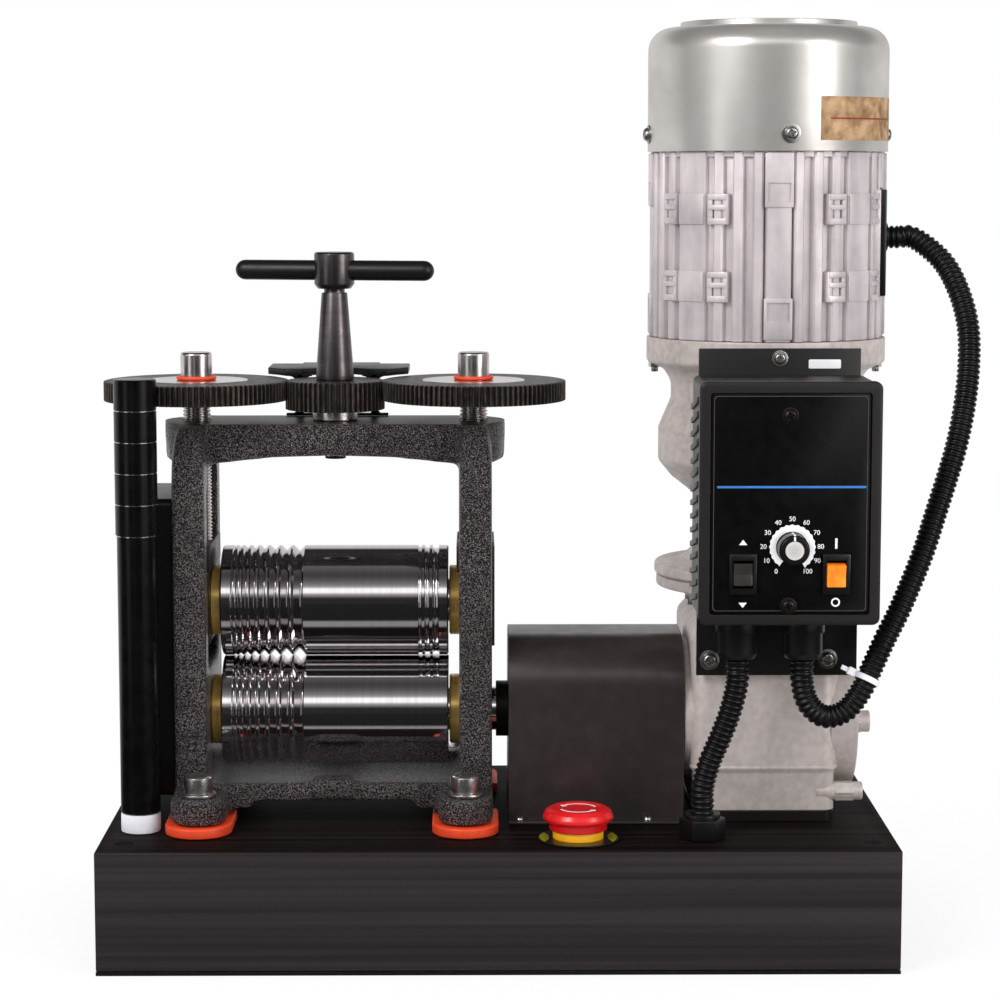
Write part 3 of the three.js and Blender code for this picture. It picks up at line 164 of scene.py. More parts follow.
def makeTurningRings():
    inputs = [("Centre", "Vector", (0, 0, 0)), ("Plane", "Vector", (1, 1, 0)), ("Scale", "Float", 1500.0)]
    tree, given, out = startGroup("turning rings", inputs, ["Height", "Tone"])
    away = vectorMaths(tree, "SUBTRACT", ownPlace(tree), given["Centre"])
    flat = vectorMaths(tree, "MULTIPLY", away, given["Plane"])
    ring = maths(tree, "MULTIPLY", vectorMaths(tree, "LENGTH", flat, out="Value"), given["Scale"])
    fine = put(tree, "TexNoise", {"W": ring, "Scale": 1.0, "Detail": 3.0},
               noise_dimensions="1D").outputs["Fac"]
    broad = put(tree, "TexNoise", {"W": ring, "Scale": 0.1, "Detail": 2.0},
                noise_dimensions="1D").outputs["Fac"]
    feed(tree, out, {"Height": fine, "Tone": ranged(tree, broad, 0, 1, 0.35, 0.65)})
    return tree


def makeHammerTexture():
    tree, given, out = startGroup("hammered paint", [("Scale", "Float", 900.0)], ["Height", "FleckAndGlint"])
    place = ownPlace(tree)
    sockets = {"Vector": place, "Scale": given["Scale"], "Smoothness": 0.35}
    cells = put(tree, "TexVoronoi", sockets, feature="SMOOTH_F1").outputs["Distance"]
    lift = maths(tree, "SUBTRACT", noise(tree, place, given["Scale"], 3.0),
                 maths(tree, "MULTIPLY", cells, 0.6))
    # the second output marks the dimples' peaks, which finishes colour lighter: partly paint flecks, partly
    # painted glints
    feed(tree, out, {"Height": lift, "FleckAndGlint": ranged(tree, lift, 0, 1, 0.13, 0.47)})
    return tree


grainGroup, smudgeGroup, wearGroup = makeGrain(), makeSmudges(), makeEdgeWear()
ringGroup, hammerGroup = makeTurningRings(), makeHammerTexture()


def grouped(tree, group, **inputs):
    return put(tree, "Group", inputs, node_tree=group).outputs


def startFinish(name):
    made = bpy.data.materials.new(name)
    tree = emptyTree(made)
    shader = put(tree, "BsdfPrincipled")
    put(tree, "OutputMaterial", {"Surface": shader.outputs[0]})
    return made, tree, shader


def dress(tree, shader, **sockets):
    feed(tree, shader, {label.replace("_", " "): value for label, value in sockets.items()})


def finish(name, slot, main, other, roughness, metallic=0.0, grain=(800, 800, 800), relief=0.03, wear=None,
           rings=None, smudge=(30, 0.6), **constants):
    # two colours and a range of roughness mixed by grain or turning rings and by smudges, with worn edges
    made, tree, shader = startFinish(name)
    if rings:
        marks = grouped(tree, ringGroup, Centre=rings[0], Plane=rings[1], Scale=rings[2])
    else:
        marks = grouped(tree, grainGroup, Scale=grain)
    smears = grouped(tree, smudgeGroup, Scale=smudge[0], Contrast=smudge[1])["Tone"]
    tone = maths(tree, "MULTIPLY", maths(tree, "ADD", marks["Tone"], smears), 0.5)
    shade = mixColours(tree, tone, colour(*main), colour(*other))
    if wear:
        mask = grouped(tree, wearGroup, Radius=wear[1], Amount=wear[2])["Mask"]
        shade = mixColours(tree, mask, shade, colour(*wear[0]))
    dress(tree, shader, Base_Color=shade, Roughness=ranged(tree, tone, *roughness), Metallic=metallic,
          Normal=bumped(tree, marks["Height"], relief), **constants)
    return made


# Shapes

def metres(points):
    return [(x * mm, y * mm, (z + deck) * mm) for x, y, z in points]


def remade(change, mesh=None):
    work = bmesh.new()
    if mesh:
        work.from_mesh(mesh)
    change(work)
    mesh = mesh or bpy.data.meshes.new("shape")
    work.to_mesh(mesh)
    work.free()
    return mesh


def cleaned(mesh, gap=1e-6, thin=1e-7):
    def change(work):
        bmesh.ops.remove_doubles(work, verts=work.verts, dist=gap)
        if thin:
            bmesh.ops.dissolve_degenerate(work, edges=work.edges, dist=thin)
        bmesh.ops.recalc_face_normals(work, faces=work.faces)

    return remade(change, mesh)


def shape(points, faces):
    mesh = bpy.data.meshes.new("shape")
    mesh.from_pydata(metres(points), [], faces)
    return cleaned(mesh)


def held(data):
    holder = bpy.data.objects.new("holder", data)
    scene.collection.objects.link(holder)
    return holder


def evaluated(holder):
    bpy.context.view_layer.update()
    made = bpy.data.meshes.new_from_object(holder.evaluated_get(bpy.context.evaluated_depsgraph_get()))
    bpy.data.objects.remove(holder)
    return made


def worked(mesh, *steps):
    holder = held(mesh)
    for kind, settings in steps:
        modifier = holder.modifiers.new(kind, kind)
        for key, value in settings.items():
            setattr(modifier, key, value)
    return evaluated(holder)


def joined(*meshes):
    def change(work):
        for mesh in meshes:
            work.from_mesh(mesh)

    return remade(change)


def carved(mesh, *tools, solver="EXACT", operation="DIFFERENCE"):
    for tool in tools:
        cutter = held(tool)
        mesh = worked(mesh, ("BOOLEAN", {"operation": operation, "solver": solver, "object": cutter}))
        bpy.data.objects.remove(cutter)
    return mesh


def moved(mesh, x=0.0, y=0.0, z=0.0, turn=0.0, axis="Z", about=(0, 0, 0)):
    made = mesh.copy()
    shift, pivot = Matrix.Translation((x * mm, y * mm, z * mm)), Matrix.Translation(metres([about])[0])
    made.transform(shift @ pivot @ Matrix.Rotation(math.radians(turn), 4, axis) @ pivot.inverted())
    return made


def block(inX, inY, inZ, edge=0.6, steps=2):
    low, high = metres(zip(inX, inY, inZ))

    def change(work):
        bmesh.ops.create_cube(work, size=1)
        for vertex in work.verts:
            vertex.co = [low[i] if vertex.co[i] < 0 else high[i] for i in range(3)]
        if edge:
            bmesh.ops.bevel(work, geom=work.edges[:], offset=edge * mm, segments=steps, profile=0.5,
                            affect="EDGES")

    return remade(change)


def arc(middle, radius, start, end, steps):
    angles = [math.radians(start + (end - start) * i / steps) for i in range(steps + 1)]
    return [(middle[0] + radius * math.cos(a), middle[1] + radius * math.sin(a)) for a in angles]


def circle(middle, radius, sides=48):
    return arc(middle, radius, 0, 360, sides)[:-1]


def roundedBox(inU, inV, radius, steps=6):
    (u0, u1), (v0, v1) = inU, inV
    corners = ((u1 - radius, v0 + radius, -90), (u1 - radius, v1 - radius, 0), (u0 + radius, v1 - radius, 90),
               (u0 + radius, v0 + radius, 180))
    return [point for u, v, start in corners for point in arc((u, v), radius, start, start + 90, steps)]


def filleted(points, radius=1.0, steps=3, loop=False):
    # every corner of a line of points rounded; a point's third number is its own radius
    made = []
    for i, point in enumerate(points):
        own = point[2] if len(point) > 2 else radius
        here = Vector(point[:2])
        back = Vector(points[i - 1][:2]) - here
        on = Vector(points[(i + 1) % len(points)][:2]) - here
        plain = not loop and i in (0, len(points) - 1) or own <= 0
        if plain or min(back.length, on.length) < 1e-6 or abs(back.normalized().dot(on.normalized())) > 0.999:
            made.append(tuple(here))
            continue
        reach = min(own / math.tan(back.angle(on) / 2), 0.48 * back.length, 0.48 * on.length)
        start, end = here + back.normalized() * reach, here + on.normalized() * reach
        for j in range(steps + 1):
            share = j / steps
            made.append(tuple(start.lerp(here, share).lerp(here.lerp(end, share), share)))
    return made


def onAxis(axis, u, v, w):
    return {"Z": (u, v, w), "Y": (u, w, v), "X": (w, u, v)}[axis]


def turned(profile, middle=(0, 0), axis="Z", sides=72, loop=False):
    # a profile of (radius, place along the axis); a loop makes a ring with a hole
    points, rows = [], []
    for radius, along in profile:
        if radius < 1e-6:
            rows.append([len(points)] * sides)
            points.append(onAxis(axis, middle[0], middle[1], along))
            continue
        rows.append(list(range(len(points), len(points) + sides)))
        points += [onAxis(axis, u, v, along) for u, v in circle(middle, radius, sides)]
    faces = []
    for one, other in zip(rows, rows[1:] + ([rows[0]] if loop else [])):
        for i in range(sides):
            j = (i + 1) % sides
            corners = list(dict.fromkeys([one[i], one[j], other[j], other[i]]))
            if len(corners) > 2:
                faces.append(corners)
    return shape(points, faces)


def rod(radius, span, middle=(0, 0), axis="Z", sides=40):
    low, high = span
    return turned([(0, low), (radius, low), (radius, high), (0, high)], middle, axis, sides)


def lathe(profile, middle=(0, 0), axis="Z", sides=72, edge=0.3, steps=3, loop=False):
    # turned, with the profile's corners rounded
    return turned(filleted(profile, edge, steps, loop), middle, axis, sides, loop)


def plate(outlines, span, axis="Z", edge=0.4, steps=2):
    # outlines (the first may have holes in it) extruded along an axis, with rounded edges
    curve = bpy.data.curves.new("outline", "CURVE")
    curve.dimensions = "2D"
    curve.fill_mode = "BOTH"
    curve.extrude = (span[1] - span[0]) / 2 - edge
    curve.bevel_depth, curve.bevel_resolution, curve.offset = edge, steps, -edge
    for outline in outlines:
        spline = curve.splines.new("POLY")
        spline.points.add(len(outline) - 1)
        spline.use_cyclic_u = True
        for point, (u, v) in zip(spline.points, outline):
            point.co = (u, v, 0, 1)
    middle = (span[0] + span[1]) / 2
    return placed(evaluated(held(curve)), lambda p: onAxis(axis, p.x, p.y, p.z + middle), 2e-6, None)


def placed(mesh, where, *limits):
    # a mesh in plain millimetres, each point put where it belongs
    for vertex, point in zip(mesh.vertices, metres([where(v.co) for v in mesh.vertices])):
        vertex.co = point
    return cleaned(mesh, *limits)


def ringAt(outline, z):
    return [(u, v, z) for u, v in outline]


def loft(rings):
    count = len(rings[0])
    faces = [
        [a * count + i, a * count + (i + 1) % count, (a + 1) * count + (i + 1) % count, (a + 1) * count + i]
        for a in range(len(rings) - 1)
        for i in range(count)
    ]
    faces += [list(range(count)), list(range((len(rings) - 1) * count, len(rings) * count))]
    return shape([point for ring in rings for point in ring], faces)


def copyOf(node):
    # a CAD piece's own mesh, merged, with its flat faces whole
    def change(work):
        bmesh.ops.remove_doubles(work, verts=work.verts, dist=1e-6)
        bmesh.ops.dissolve_limit(work, angle_limit=0.01, verts=work.verts, edges=work.edges)

    return remade(change, cadNodes[node].data.copy())


def softened(mesh, edge=0.5, limit=40):
    settings = {"width": edge * mm, "segments": 2, "limit_method": "ANGLE",
                "angle_limit": math.radians(limit)}
    return worked(mesh, ("BEVEL", settings))


def piece(name, mesh, finished, *replaced, body="root", slot=None, crease=32):
    mesh.materials.clear()
    mesh.materials.append(finished)
    mesh.polygons.foreach_set("material_index", [0] * len(mesh.polygons))
    mesh.polygons.foreach_set("use_smooth", [True] * len(mesh.polygons))
    mesh.set_sharp_from_angle(angle=math.radians(crease))
    mesh.name = name
    made = bpy.data.objects.new(name, mesh)
    scene.collection.objects.link(made)
    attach(made, body)
    if replaced:
        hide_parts(*replaced)
    return made


# Copies made by Geometry Nodes

def makeCopyTree(name, inputs, arrange):
    # arrange gives each copy's point and turn, and its size where that differs
    tree = bpy.data.node_groups.new(name, "GeometryNodeTree")
    keys = {}
    for label, kind in [("Geometry", "Geometry"), ("Piece", "Object"), *inputs, ("Finish", "Material")]:
        keys[label] = tree.interface.new_socket(label, in_out="INPUT",
                                                socket_type="NodeSocket" + kind).identifier
    tree.interface.new_socket("Geometry", in_out="OUTPUT", socket_type="NodeSocketGeometry")
    given, out = tree.nodes.new("NodeGroupInput").outputs, tree.nodes.new("NodeGroupOutput")
    source = put(tree, "GeometryNodeObjectInfo", {"Object": given["Piece"]}).outputs["Geometry"]
    copies = put(tree, "GeometryNodeInstanceOnPoints",
                 {"Instance": source, **arrange(tree, given)}).outputs[0]
    whole = put(tree, "GeometryNodeRealizeInstances", {"Geometry": copies}).outputs[0]
    finished = put(tree, "GeometryNodeSetMaterial", {"Geometry": whole, "Material": given["Finish"]})
    feed(tree, out, {0: finished.outputs[0]})
    return tree, keys


def inLine(tree, given):
    # copy number i stands at Step times i and is turned by Start + Turn times i about the z axis
    number = put(tree, "GeometryNodeInputIndex").outputs[0]
    place = put(tree, "VectorMath", {0: given["Step"], "Scale": number}, operation="SCALE").outputs[0]
    points = put(tree, "GeometryNodePoints", {"Count": given["Count"], "Position": place}).outputs[0]
    angle = maths(tree, "ADD", maths(tree, "MULTIPLY", number, given["Turn"]), given["Start"])
    return {"Points": points, "Rotation": put(tree, "CombineXYZ", {"Z": angle}).outputs[0]}


def atPoints(tree, given):
    # a copy at each point, its z axis along the point's facing, spun by its own angle
    facing, size, spin = (
        put(tree, "GeometryNodeInputNamedAttribute", {"Name": name}, data_type=kind).outputs[0]
        for name, kind in (("facing", "FLOAT_VECTOR"), ("size", "FLOAT"), ("spin", "FLOAT"))
    )
    spun = put(tree, "CombineXYZ", {"Z": spin}).outputs[0]
    turn = put(tree, "FunctionNodeAlignEulerToVector", {"Rotation": spun, "Vector": facing},
               axis="Z").outputs[0]
    return {"Points": given["Geometry"], "Rotation": turn, "Scale": size}


lineInputs = [("Count", "Int"), ("Step", "Vector"), ("Start", "Float"), ("Turn", "Float")]
lineTree, pointTree = makeCopyTree("copies", lineInputs, inLine), makeCopyTree("set pieces", [], atPoints)


def grown(treeAndKeys, mesh, source, finished, **inputs):
    tree, keys = treeAndKeys
    original = held(source)
    holder = held(mesh)
    modifier = holder.modifiers.new("copies", "NODES")
    modifier.node_group = tree
    for label, value in {"Piece": original, "Finish": finished, **inputs}.items():
        modifier[keys[label]] = value
    made = evaluated(holder)
    bpy.data.objects.remove(original)
    return made


def rowOf(source, count, step, finished, start=0.0, turn=0.0):
    step = tuple(value * mm for value in step)
    none = bpy.data.meshes.new("none")
    return grown(lineTree, none, source, finished, Count=count, Step=step, Start=start, Turn=turn)


def ringOf(source, count, middle, finished, start=0.0):
    # the source is drawn as if the ring's middle were at the origin of x and y
    made = rowOf(source, count, (0, 0, 0), finished, math.radians(start), 2 * math.pi / count)
    return moved(made, *middle)


def setAt(source, places, finished):
    # places: (point, facing, size, spin in degrees); the source stands on the origin of the base, facing up
    points = bpy.data.meshes.new("points")
    points.from_pydata(metres([place[0] for place in places]), [], [])
    facing = points.attributes.new("facing", "FLOAT_VECTOR", "POINT")
    facing.data.foreach_set("vector", [value for place in places for value in place[1]])
    for label, values in (("size", [p[2] for p in places]), ("spin", [math.radians(p[3]) for p in places])):
        points.attributes.new(label, "FLOAT", "POINT").data.foreach_set("value", values)
    return grown(pointTree, points, moved(source, z=-deck), finished)


def panHead(radius=3.0, height=2.2, lift=0.0):
    line = [(0, -0.6), (radius, -0.6), (radius, height * 0.35, 0.6), (radius * 0.72, height, 1.6),
            (0, height)]
    long, thin = radius * 0.62, radius * 0.12
    arms = [block((-u, u), (-v, v), (height * 0.35, height + 1), 0) for u, v in ((long, thin), (thin, long))]
    return moved(carved(lathe(line, sides=32, edge=1), *arms), z=lift)


def washer(radius, thick, foot=-0.6):
    return lathe([(0, foot), (radius, foot), (radius, thick, 0.3), (0, thick)], sides=40, edge=0.2, steps=2)


def fastened(name, source, places):
    return piece(name, setAt(source, places, screwSteel), screwSteel, crease=25)


# Hoses

hoses = {
    "radius": 6.5, "root": 5.5, "lip": 0.35, "ribPitch": 3.1, "sides": 20,
    "base": [(131.2, -80, 100.7), (131.2, -80, 94.2), (131.2, -80, 87.7), (127.8, -80, 72), (122, -80, 56),
             (116.2, -80, 42), (112.6, -80, 27.8), (112.6, -80, 21.3), (112.6, -80, 14.8)],
    "motor": [(166.7, -80, 100.7), (166.7, -80, 94.2), (166.7, -80, 87.7), (170.5, -80, 75),
              (179.5, -79.5, 68), (190.5, -78, 70.5), (199.5, -76, 81), (206.5, -73, 95), (213.5, -70, 109.5),
              (221.1, -66, 123.5), (228.8, -61, 139.5), (236.4, -56, 157), (243.3, -50, 176),
              (249.7, -45, 194), (255.7, -40, 212), (260.9, -34, 233), (264.6, -26, 257), (265, -19, 279),
              (260.6, -11, 299), (252, -2, 316), (235.1, 4, 328.9), (228.6, 4, 328.7), (222.1, 4, 328.7)],
}
hoseBlack = finish("hose black", "hose_black", (9, 8, 9), (15, 14, 15), (0.3, 0.42), grain=(500, 500, 500),
                   relief=0.01, Specular_IOR_Level=0.35)


def smoothRoute(route, steps=24):
    # the same centripetal curve through the points as the CAD hose follows
    points = [Vector(point) for point in route]
    points = [2 * points[0] - points[1], *points, 2 * points[-1] - points[-2]]
    made = []
    for a, b, c, d in zip(points, points[1:], points[2:], points[3:]):
        gaps = [max((q - p).length_squared ** 0.25, 1e-4) for p, q in ((a, b), (b, c), (c, d))]
        first = ((b - a) / gaps[0] - (c - a) / (gaps[0] + gaps[1]) + (c - b) / gaps[1]) * gaps[1]
        last = ((c - b) / gaps[1] - (d - b) / (gaps[1] + gaps[2]) + (d - c) / gaps[2]) * gaps[1]
        for i in range(steps):
            t = i / steps
            made.append(b + first * t + (3 * (c - b) - 2 * first - last) * t * t
                        + (first + last - 2 * (c - b)) * t**3)
    return [*made, points[-2]]


def evenly(points, spacing):
    lengths = [0.0]
    for one, other in zip(points, points[1:]):
        lengths.append(lengths[-1] + (other - one).length)
    count = max(round(lengths[-1] / spacing), 2)
    made, at = [], 0
    for i in range(count + 1):
        along = lengths[-1] * i / count
        while at < len(points) - 2 and lengths[at + 1] < along:
            at += 1
        made.append(points[at].lerp(points[at + 1], (along - lengths[at]) / (lengths[at + 1] - lengths[at])))
    return made, lengths[-1]


def sweep(points, radii, sides):
    # a closed tube whose ring keeps its side up along the way
    made, normal = [], Vector((1, 0, 0))
    for i, point in enumerate(points):
        ahead = (points[min(i + 1, len(points) - 1)] - points[max(i - 1, 0)]).normalized()
        normal = (normal - ahead * normal.dot(ahead)).normalized()
        other = ahead.cross(normal)
        ring = circle((0, 0), 1, sides)
        made.append([tuple(point + radii[i] * (normal * u + other * v)) for u, v in ring])
    return loft(made)


def makeHose(kind):
    radius, root, lip = hoses["radius"], hoses["root"], hoses["lip"]
    rib = [root, root, radius - lip, radius, radius, radius - lip]
    fine = smoothRoute(hoses[kind])
    points, length = evenly(fine, hoses["ribPitch"] / len(rib))
    radii = [rib[i % len(rib)] for i in range(len(points))]
    made = piece(kind + "Hose", sweep(points, radii, hoses["sides"]), hoseBlack, kind + "_hose", crease=50)
    path = metres(evenly(fine, 4)[0])
    print(made.name, round(length, 1), "mm")
    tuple(path[0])


makeHose("base")
makeHose("motor")

# Finishes

edgeGrey = ((90, 86, 84), 0.0004, 0.4)
sheetBlack = finish("black sheet", "black_sheet", (22, 19, 18), (14, 12, 12), (0.3, 0.42), relief=0.012,
                    wear=edgeGrey, Specular_IOR_Level=0.4)
guardBlack = finish("guard sheet", "black_sheet", (50, 43, 41), (36, 31, 30), (0.26, 0.36), relief=0.008,
                    smudge=(12, 1.2), wear=edgeGrey, Specular_IOR_Level=0.5)
gearSteel = finish("dark gear steel", "dark_steel", (58, 50, 46), (38, 33, 31), (0.36, 0.5), 0.6,
                   (900, 900, 300), 0.02, wear=((170, 158, 150), 0.0004, 0.8))
spindleSteel = finish("dark turned steel", "turned_steel", (102, 96, 97), (80, 75, 76), (0.24, 0.32), 0.95,
                      (60, 60, 900), 0.002, wear=((210, 205, 205), 0.0004, 0.7))
teeBlack = finish("black rod", "black_plastic", (18, 16, 17), (12, 11, 12), (0.34, 0.44), relief=0.008,
                  Specular_IOR_Level=0.4)
brightSteel = finish("bright steel", "turned_steel", (222, 216, 214), (200, 193, 191), (0.18, 0.27), 1.0,
                     (100, 100, 900), 0.002)
screwSteel = finish("plated screws", "plated_steel", (214, 211, 209), (182, 179, 177), (0.22, 0.36), 1.0,
                    relief=0.008)
rollSteel = finish("polished roll steel", "polished_steel", (218, 214, 215), (204, 199, 201), (0.05, 0.1),
                   1.0, (2600, 30, 30), 0.002)
bronze = finish("bronze", "bronze", (246, 206, 118), (214, 166, 84), (0.2, 0.32), 0.45, (1800, 100, 100),
                0.01)
padOrange = finish("orange rubber", "orange_rubber", (232, 72, 28), (212, 58, 18), (0.45, 0.6), relief=0.02)
gripBlack = finish("black grip", "grip_black", (5, 4, 4), (9, 8, 8), (0.2, 0.32), relief=0.008,
                   Specular_IOR_Level=0.25)
nylon = finish("white nylon", "white_nylon", (232, 232, 238), (220, 220, 228), (0.45, 0.6), relief=0.01,
               Subsurface_Weight=0.1, Subsurface_Scale=0.002)
castAluminium = finish("blasted aluminium", "cast_aluminium", (204, 194, 190), (172, 162, 158), (0.42, 0.58),
                       0.3, (1300, 1300, 1300), 0.06, smudge=(18, 0.9))
motorAluminium = finish("motor aluminium", "motor_casing", (216, 207, 209), (176, 168, 170), (0.4, 0.54), 0.3,
                        (700, 700, 120), 0.07, smudge=(34, 1.1))
zincSheet = finish("zinc sheet", "galvanised_sheet", (216, 213, 209), (186, 181, 176), (0.28, 0.4), 0.76,
                   (90, 90, 200), 0.004, smudge=(16, 1.6))
boxPlastic = finish("box plastic", "box_plastic", (30, 26, 25), (22, 19, 18), (0.38, 0.5), 0.0,
                    (1500, 1500, 1500), wear=((74, 68, 66), 0.0006, 0.5))
panelBlack = finish("panel black", "panel_black", (4, 4, 5), (7, 7, 8), (0.24, 0.34), relief=0.004,
                    Specular_IOR_Level=0.3)
softBlack = finish("black plastic", "black_plastic", (16, 15, 16), (9, 8, 9), (0.26, 0.4), relief=0.012)
rockerBlack = finish("rocker black", "black_plastic", (52, 47, 47), (38, 34, 34), (0.2, 0.3), relief=0.006,
                     Coat_Weight=0.4, Coat_Roughness=0.1)
stopRed = finish("stop red", "red_plastic", (214, 12, 20), (196, 8, 15), (0.26, 0.4), relief=0.008,
                 Coat_Weight=0.3, Coat_Roughness=0.15)
stopYellow = finish("stop yellow", "yellow_plastic", (252, 186, 16), (240, 166, 8), (0.35, 0.5), relief=0.008)
lampOrange = finish("lamp orange", "orange_lamp", (255, 150, 44), (238, 104, 16), (0.16, 0.26), relief=0.01,
                    smudge=(140, 1.4), Coat_Weight=0.5, Coat_Roughness=0.1,
                    Emission_Color=colour(255, 120, 10), Emission_Strength=0.4)
printWhite = finish("white print", "white_nylon", (238, 238, 240), (226, 226, 230), (0.5, 0.6), relief=0.004)
printBlue = finish("blue print", "hose_black", (38, 116, 190), (28, 98, 170), (0.5, 0.6), relief=0.004)
printRed = finish("red print", "red_plastic", (150, 40, 26), (120, 30, 20), (0.5, 0.6), relief=0.004)
printGreen = finish("yellow green print", "yellow_plastic", (150, 146, 10), (120, 116, 8), (0.4, 0.5),
                    relief=0.004)
# painted highlight: the light line that the panel rim's bevel catches
paintedRimHighlight = finish("painted rim highlight", "box_plastic", (74, 70, 69), (60, 56, 55), (0.4, 0.5), relief=0.004)
labelTan = finish("tan label", "bronze", (186, 152, 112), (122, 86, 50), (0.6, 0.75), relief=0.01,
                  smudge=(120, 1.6))
darkScrew = finish("black screws", "black_plastic", (60, 55, 54), (38, 34, 33), (0.26, 0.36), 0.8,
                   relief=0.01)
capSteel = finish("spun cap", "plated_steel", (232, 228, 228), (164, 160, 160), (0.24, 0.4), 0.15,
                  relief=0.006, rings=((0.157, 0, 0.2342), (1, 0, 1), 2600))


def above(tree, height):
    place = put(tree, "SeparateXYZ", {0: ownPlace(tree)}).outputs[2]
    return maths(tree, "GREATER_THAN", place, (deck + height) * mm)


def makeBaseFinish():
    # brushed along its length, duller on the deck than on the walls; the deck's colours are also darker and
    # browner than the walls', which is painted shade and a painted reflection of the motor
    made, tree, shader = startFinish("brushed black sheet")
    flat = above(tree, -0.4)
    walls, top = grouped(tree, grainGroup, Scale=(9, 9, 1300)), grouped(tree, grainGroup, Scale=(7, 1100, 9))
    onWalls = mixColours(tree, walls["Tone"], colour(47, 42, 44), colour(35, 30, 32))
    # the deck's brushed grain in darker, browner colours than the walls': painted shade and a painted
    # reflection
    deckGrainAndPaintedShade = mixColours(tree, top["Tone"], colour(34, 26, 25), colour(12, 9, 9))
    height = put(tree, "Mix", {0: flat, 2: walls["Height"], 3: top["Height"]}).outputs[0]
    worn = grouped(tree, wearGroup, Radius=0.0004, Amount=0.4)["Mask"]
    painted = mixColours(tree, worn, mixColours(tree, flat, onWalls, deckGrainAndPaintedShade), colour(120, 114, 112))
    dress(tree, shader, Base_Color=painted, Roughness=ranged(tree, flat, 0.32, 0.6),
          Normal=bumped(tree, height, 0.02), Specular_IOR_Level=ranged(tree, flat, 0.18, 0.03))
    return made


def makeFrameFinish():
    # hammered paint, and bare ground metal on the machined top; the dimples' peaks are painted lighter,
    # partly the paint's own flecks and partly painted glints
    made, tree, shader = startFinish("hammered casting")
    dimples = grouped(tree, hammerGroup, Scale=1150.0)
    smears = grouped(tree, smudgeGroup, Scale=22.0, Contrast=0.8)["Tone"]
    # light colour on the dimples' peaks: partly the paint's flecks, partly painted glints
    painted = mixColours(tree, dimples["FleckAndGlint"], colour(42, 37, 38), colour(158, 149, 150))
    painted = mixColours(tree, smears, painted, mixColours(tree, 0.45, painted, colour(42, 38, 39)))
    lines = grouped(tree, grainGroup, Scale=(14, 1400, 14))
    ground = mixColours(tree, lines["Tone"], colour(112, 104, 101), colour(78, 71, 69))
    machined = above(tree, 224.6)
    relief = {4: bumped(tree, dimples["Height"], 1.9), 5: bumped(tree, lines["Height"], 0.02, 0.5)}
    normal = put(tree, "Mix", {0: machined, **relief}, data_type="VECTOR").outputs[1]
    dress(tree, shader, Base_Color=mixColours(tree, machined, painted, ground), Normal=normal,
          Roughness=ranged(tree, machined, 0.22, 0.4), Metallic=ranged(tree, machined, 0.45, 0.8))
    return made


baseBlack, hammered = makeBaseFinish(), makeFrameFinish()
print("finishes made:", len(bpy.data.materials))

# Base, and the CAD pieces that stay as they are

base = {"half": (219, 111.5), "foot": -66.1, "wall": 2.5, "edge": 0.9, "benchHole": (205, 91, 5.5),
        "inlet": ((-164.3, -135.7), (-44.5, -23.9))}
fourSigns = [(sx, sy) for sx in (-1, 1) for sy in (-1, 1)]
bothSides = (("left", -1), ("right", 1))


def makeBase():
    x, y = base["half"]
    hx, hy, radius = base["benchHole"]
    wall, foot = base["wall"], base["foot"]
    shell = block((-x, x), (-y, y), (foot, 0), base["edge"], 3)
    hollow = block((wall - x, x - wall), (wall - y, y - wall), (foot - 2, -wall), 0)
    holes = [rod(radius, (-9, 5), (sx * hx, sy * hy)) for sx, sy in fourSigns]
    inlet = block(base["inlet"][0], (y - 6, y + 5), base["inlet"][1], 0)
    piece("baseShell", carved(shell, hollow, joined(*holes, inlet)), baseBlack, "base_shell")


makeBase()
for finished, nodes in ((sheetBlack, ("base_bottom_plate",)), (softBlack, ("estop_contacts", "power_inlet")),
                        (gearSteel, ("lower_roll_gear", "upper_roll_gear", "output_gear", "motor_rotor"))):
    for node in nodes:
        cadNodes[node].data.materials.clear()
        cadNodes[node].data.materials.append(finished)

# Mill frame, with the sizes of what it carries

casting = {"voxel": 1.7, "smoothing": 18, "top": 225, "columnX": 79.95, "columnHalf": 9.25, "topHalf": 7.6,
           "bendFrom": 191, "columnFace": 50.2, "yoke": (68, 29), "yokeZ": (214, 229), "footRadius": 15.6,
           "footZ": (6.3, 21), "window": ((-32.2, 32.2), (84, 201.2), 12), "screwHole": 8.3,
           "spindleHole": 9.8, "boltHole": 5.3, "rollHole": 17.3}
feet = {"x": 74.2, "y": 66, "pad": (0.3, 6.0), "padRadius": 18.5, "washer": (21.3, 22.8, 10), "head": (8, 10),
        "socket": 4.6}
rolls = {"radius": 31.5, "half": 64.5, "lowerZ": 57.6, "upperZ": 121.1, "journal": 12.5, "chamfer": 0.8,
         "bevel": 0.12,
         # number of grooves, place of the first, its width, what each adds, and the land between two
         "wire": (8, -57.7, 1.4, 0.73, 1.3), "halfRound": (3, 48.4, 2.1, 0.85, 1.5)}
adjust = {"centre": 78.93, "wheelTeeth": 102, "pinionTeeth": 54, "module": 1.01, "top": 247.8,
          "bottom": 236.3, "pinionBottom": 231, "screwFoot": 150.9, "capHeight": 16, "ring": (10.35, 1.05),
          "teeZ": 310.1, "teeTurn": -12}


def columnTop(sy):
    # the top of a column, which bends back onto the yoke's face
    face, foot, rise = casting["yoke"][1], casting["bendFrom"], casting["top"] - casting["bendFrom"]
    rings = []
    for turn in (-15, 0, 15, 30, 45, 58, 70, 80, 87):
        a = math.radians(max(turn, 0))
        z = foot - 6 if turn < 0 else foot + rise * math.sin(a)
        reach = face + (casting["columnFace"] - face) * math.cos(a)
        half = casting["columnHalf"] + (casting["topHalf"] - casting["columnHalf"]) * math.sin(a)
        rings.append(ringAt(roundedBox((-half, half), sorted((20 * sy, reach * sy)), 2.5, 4), z))
    return loft(rings)


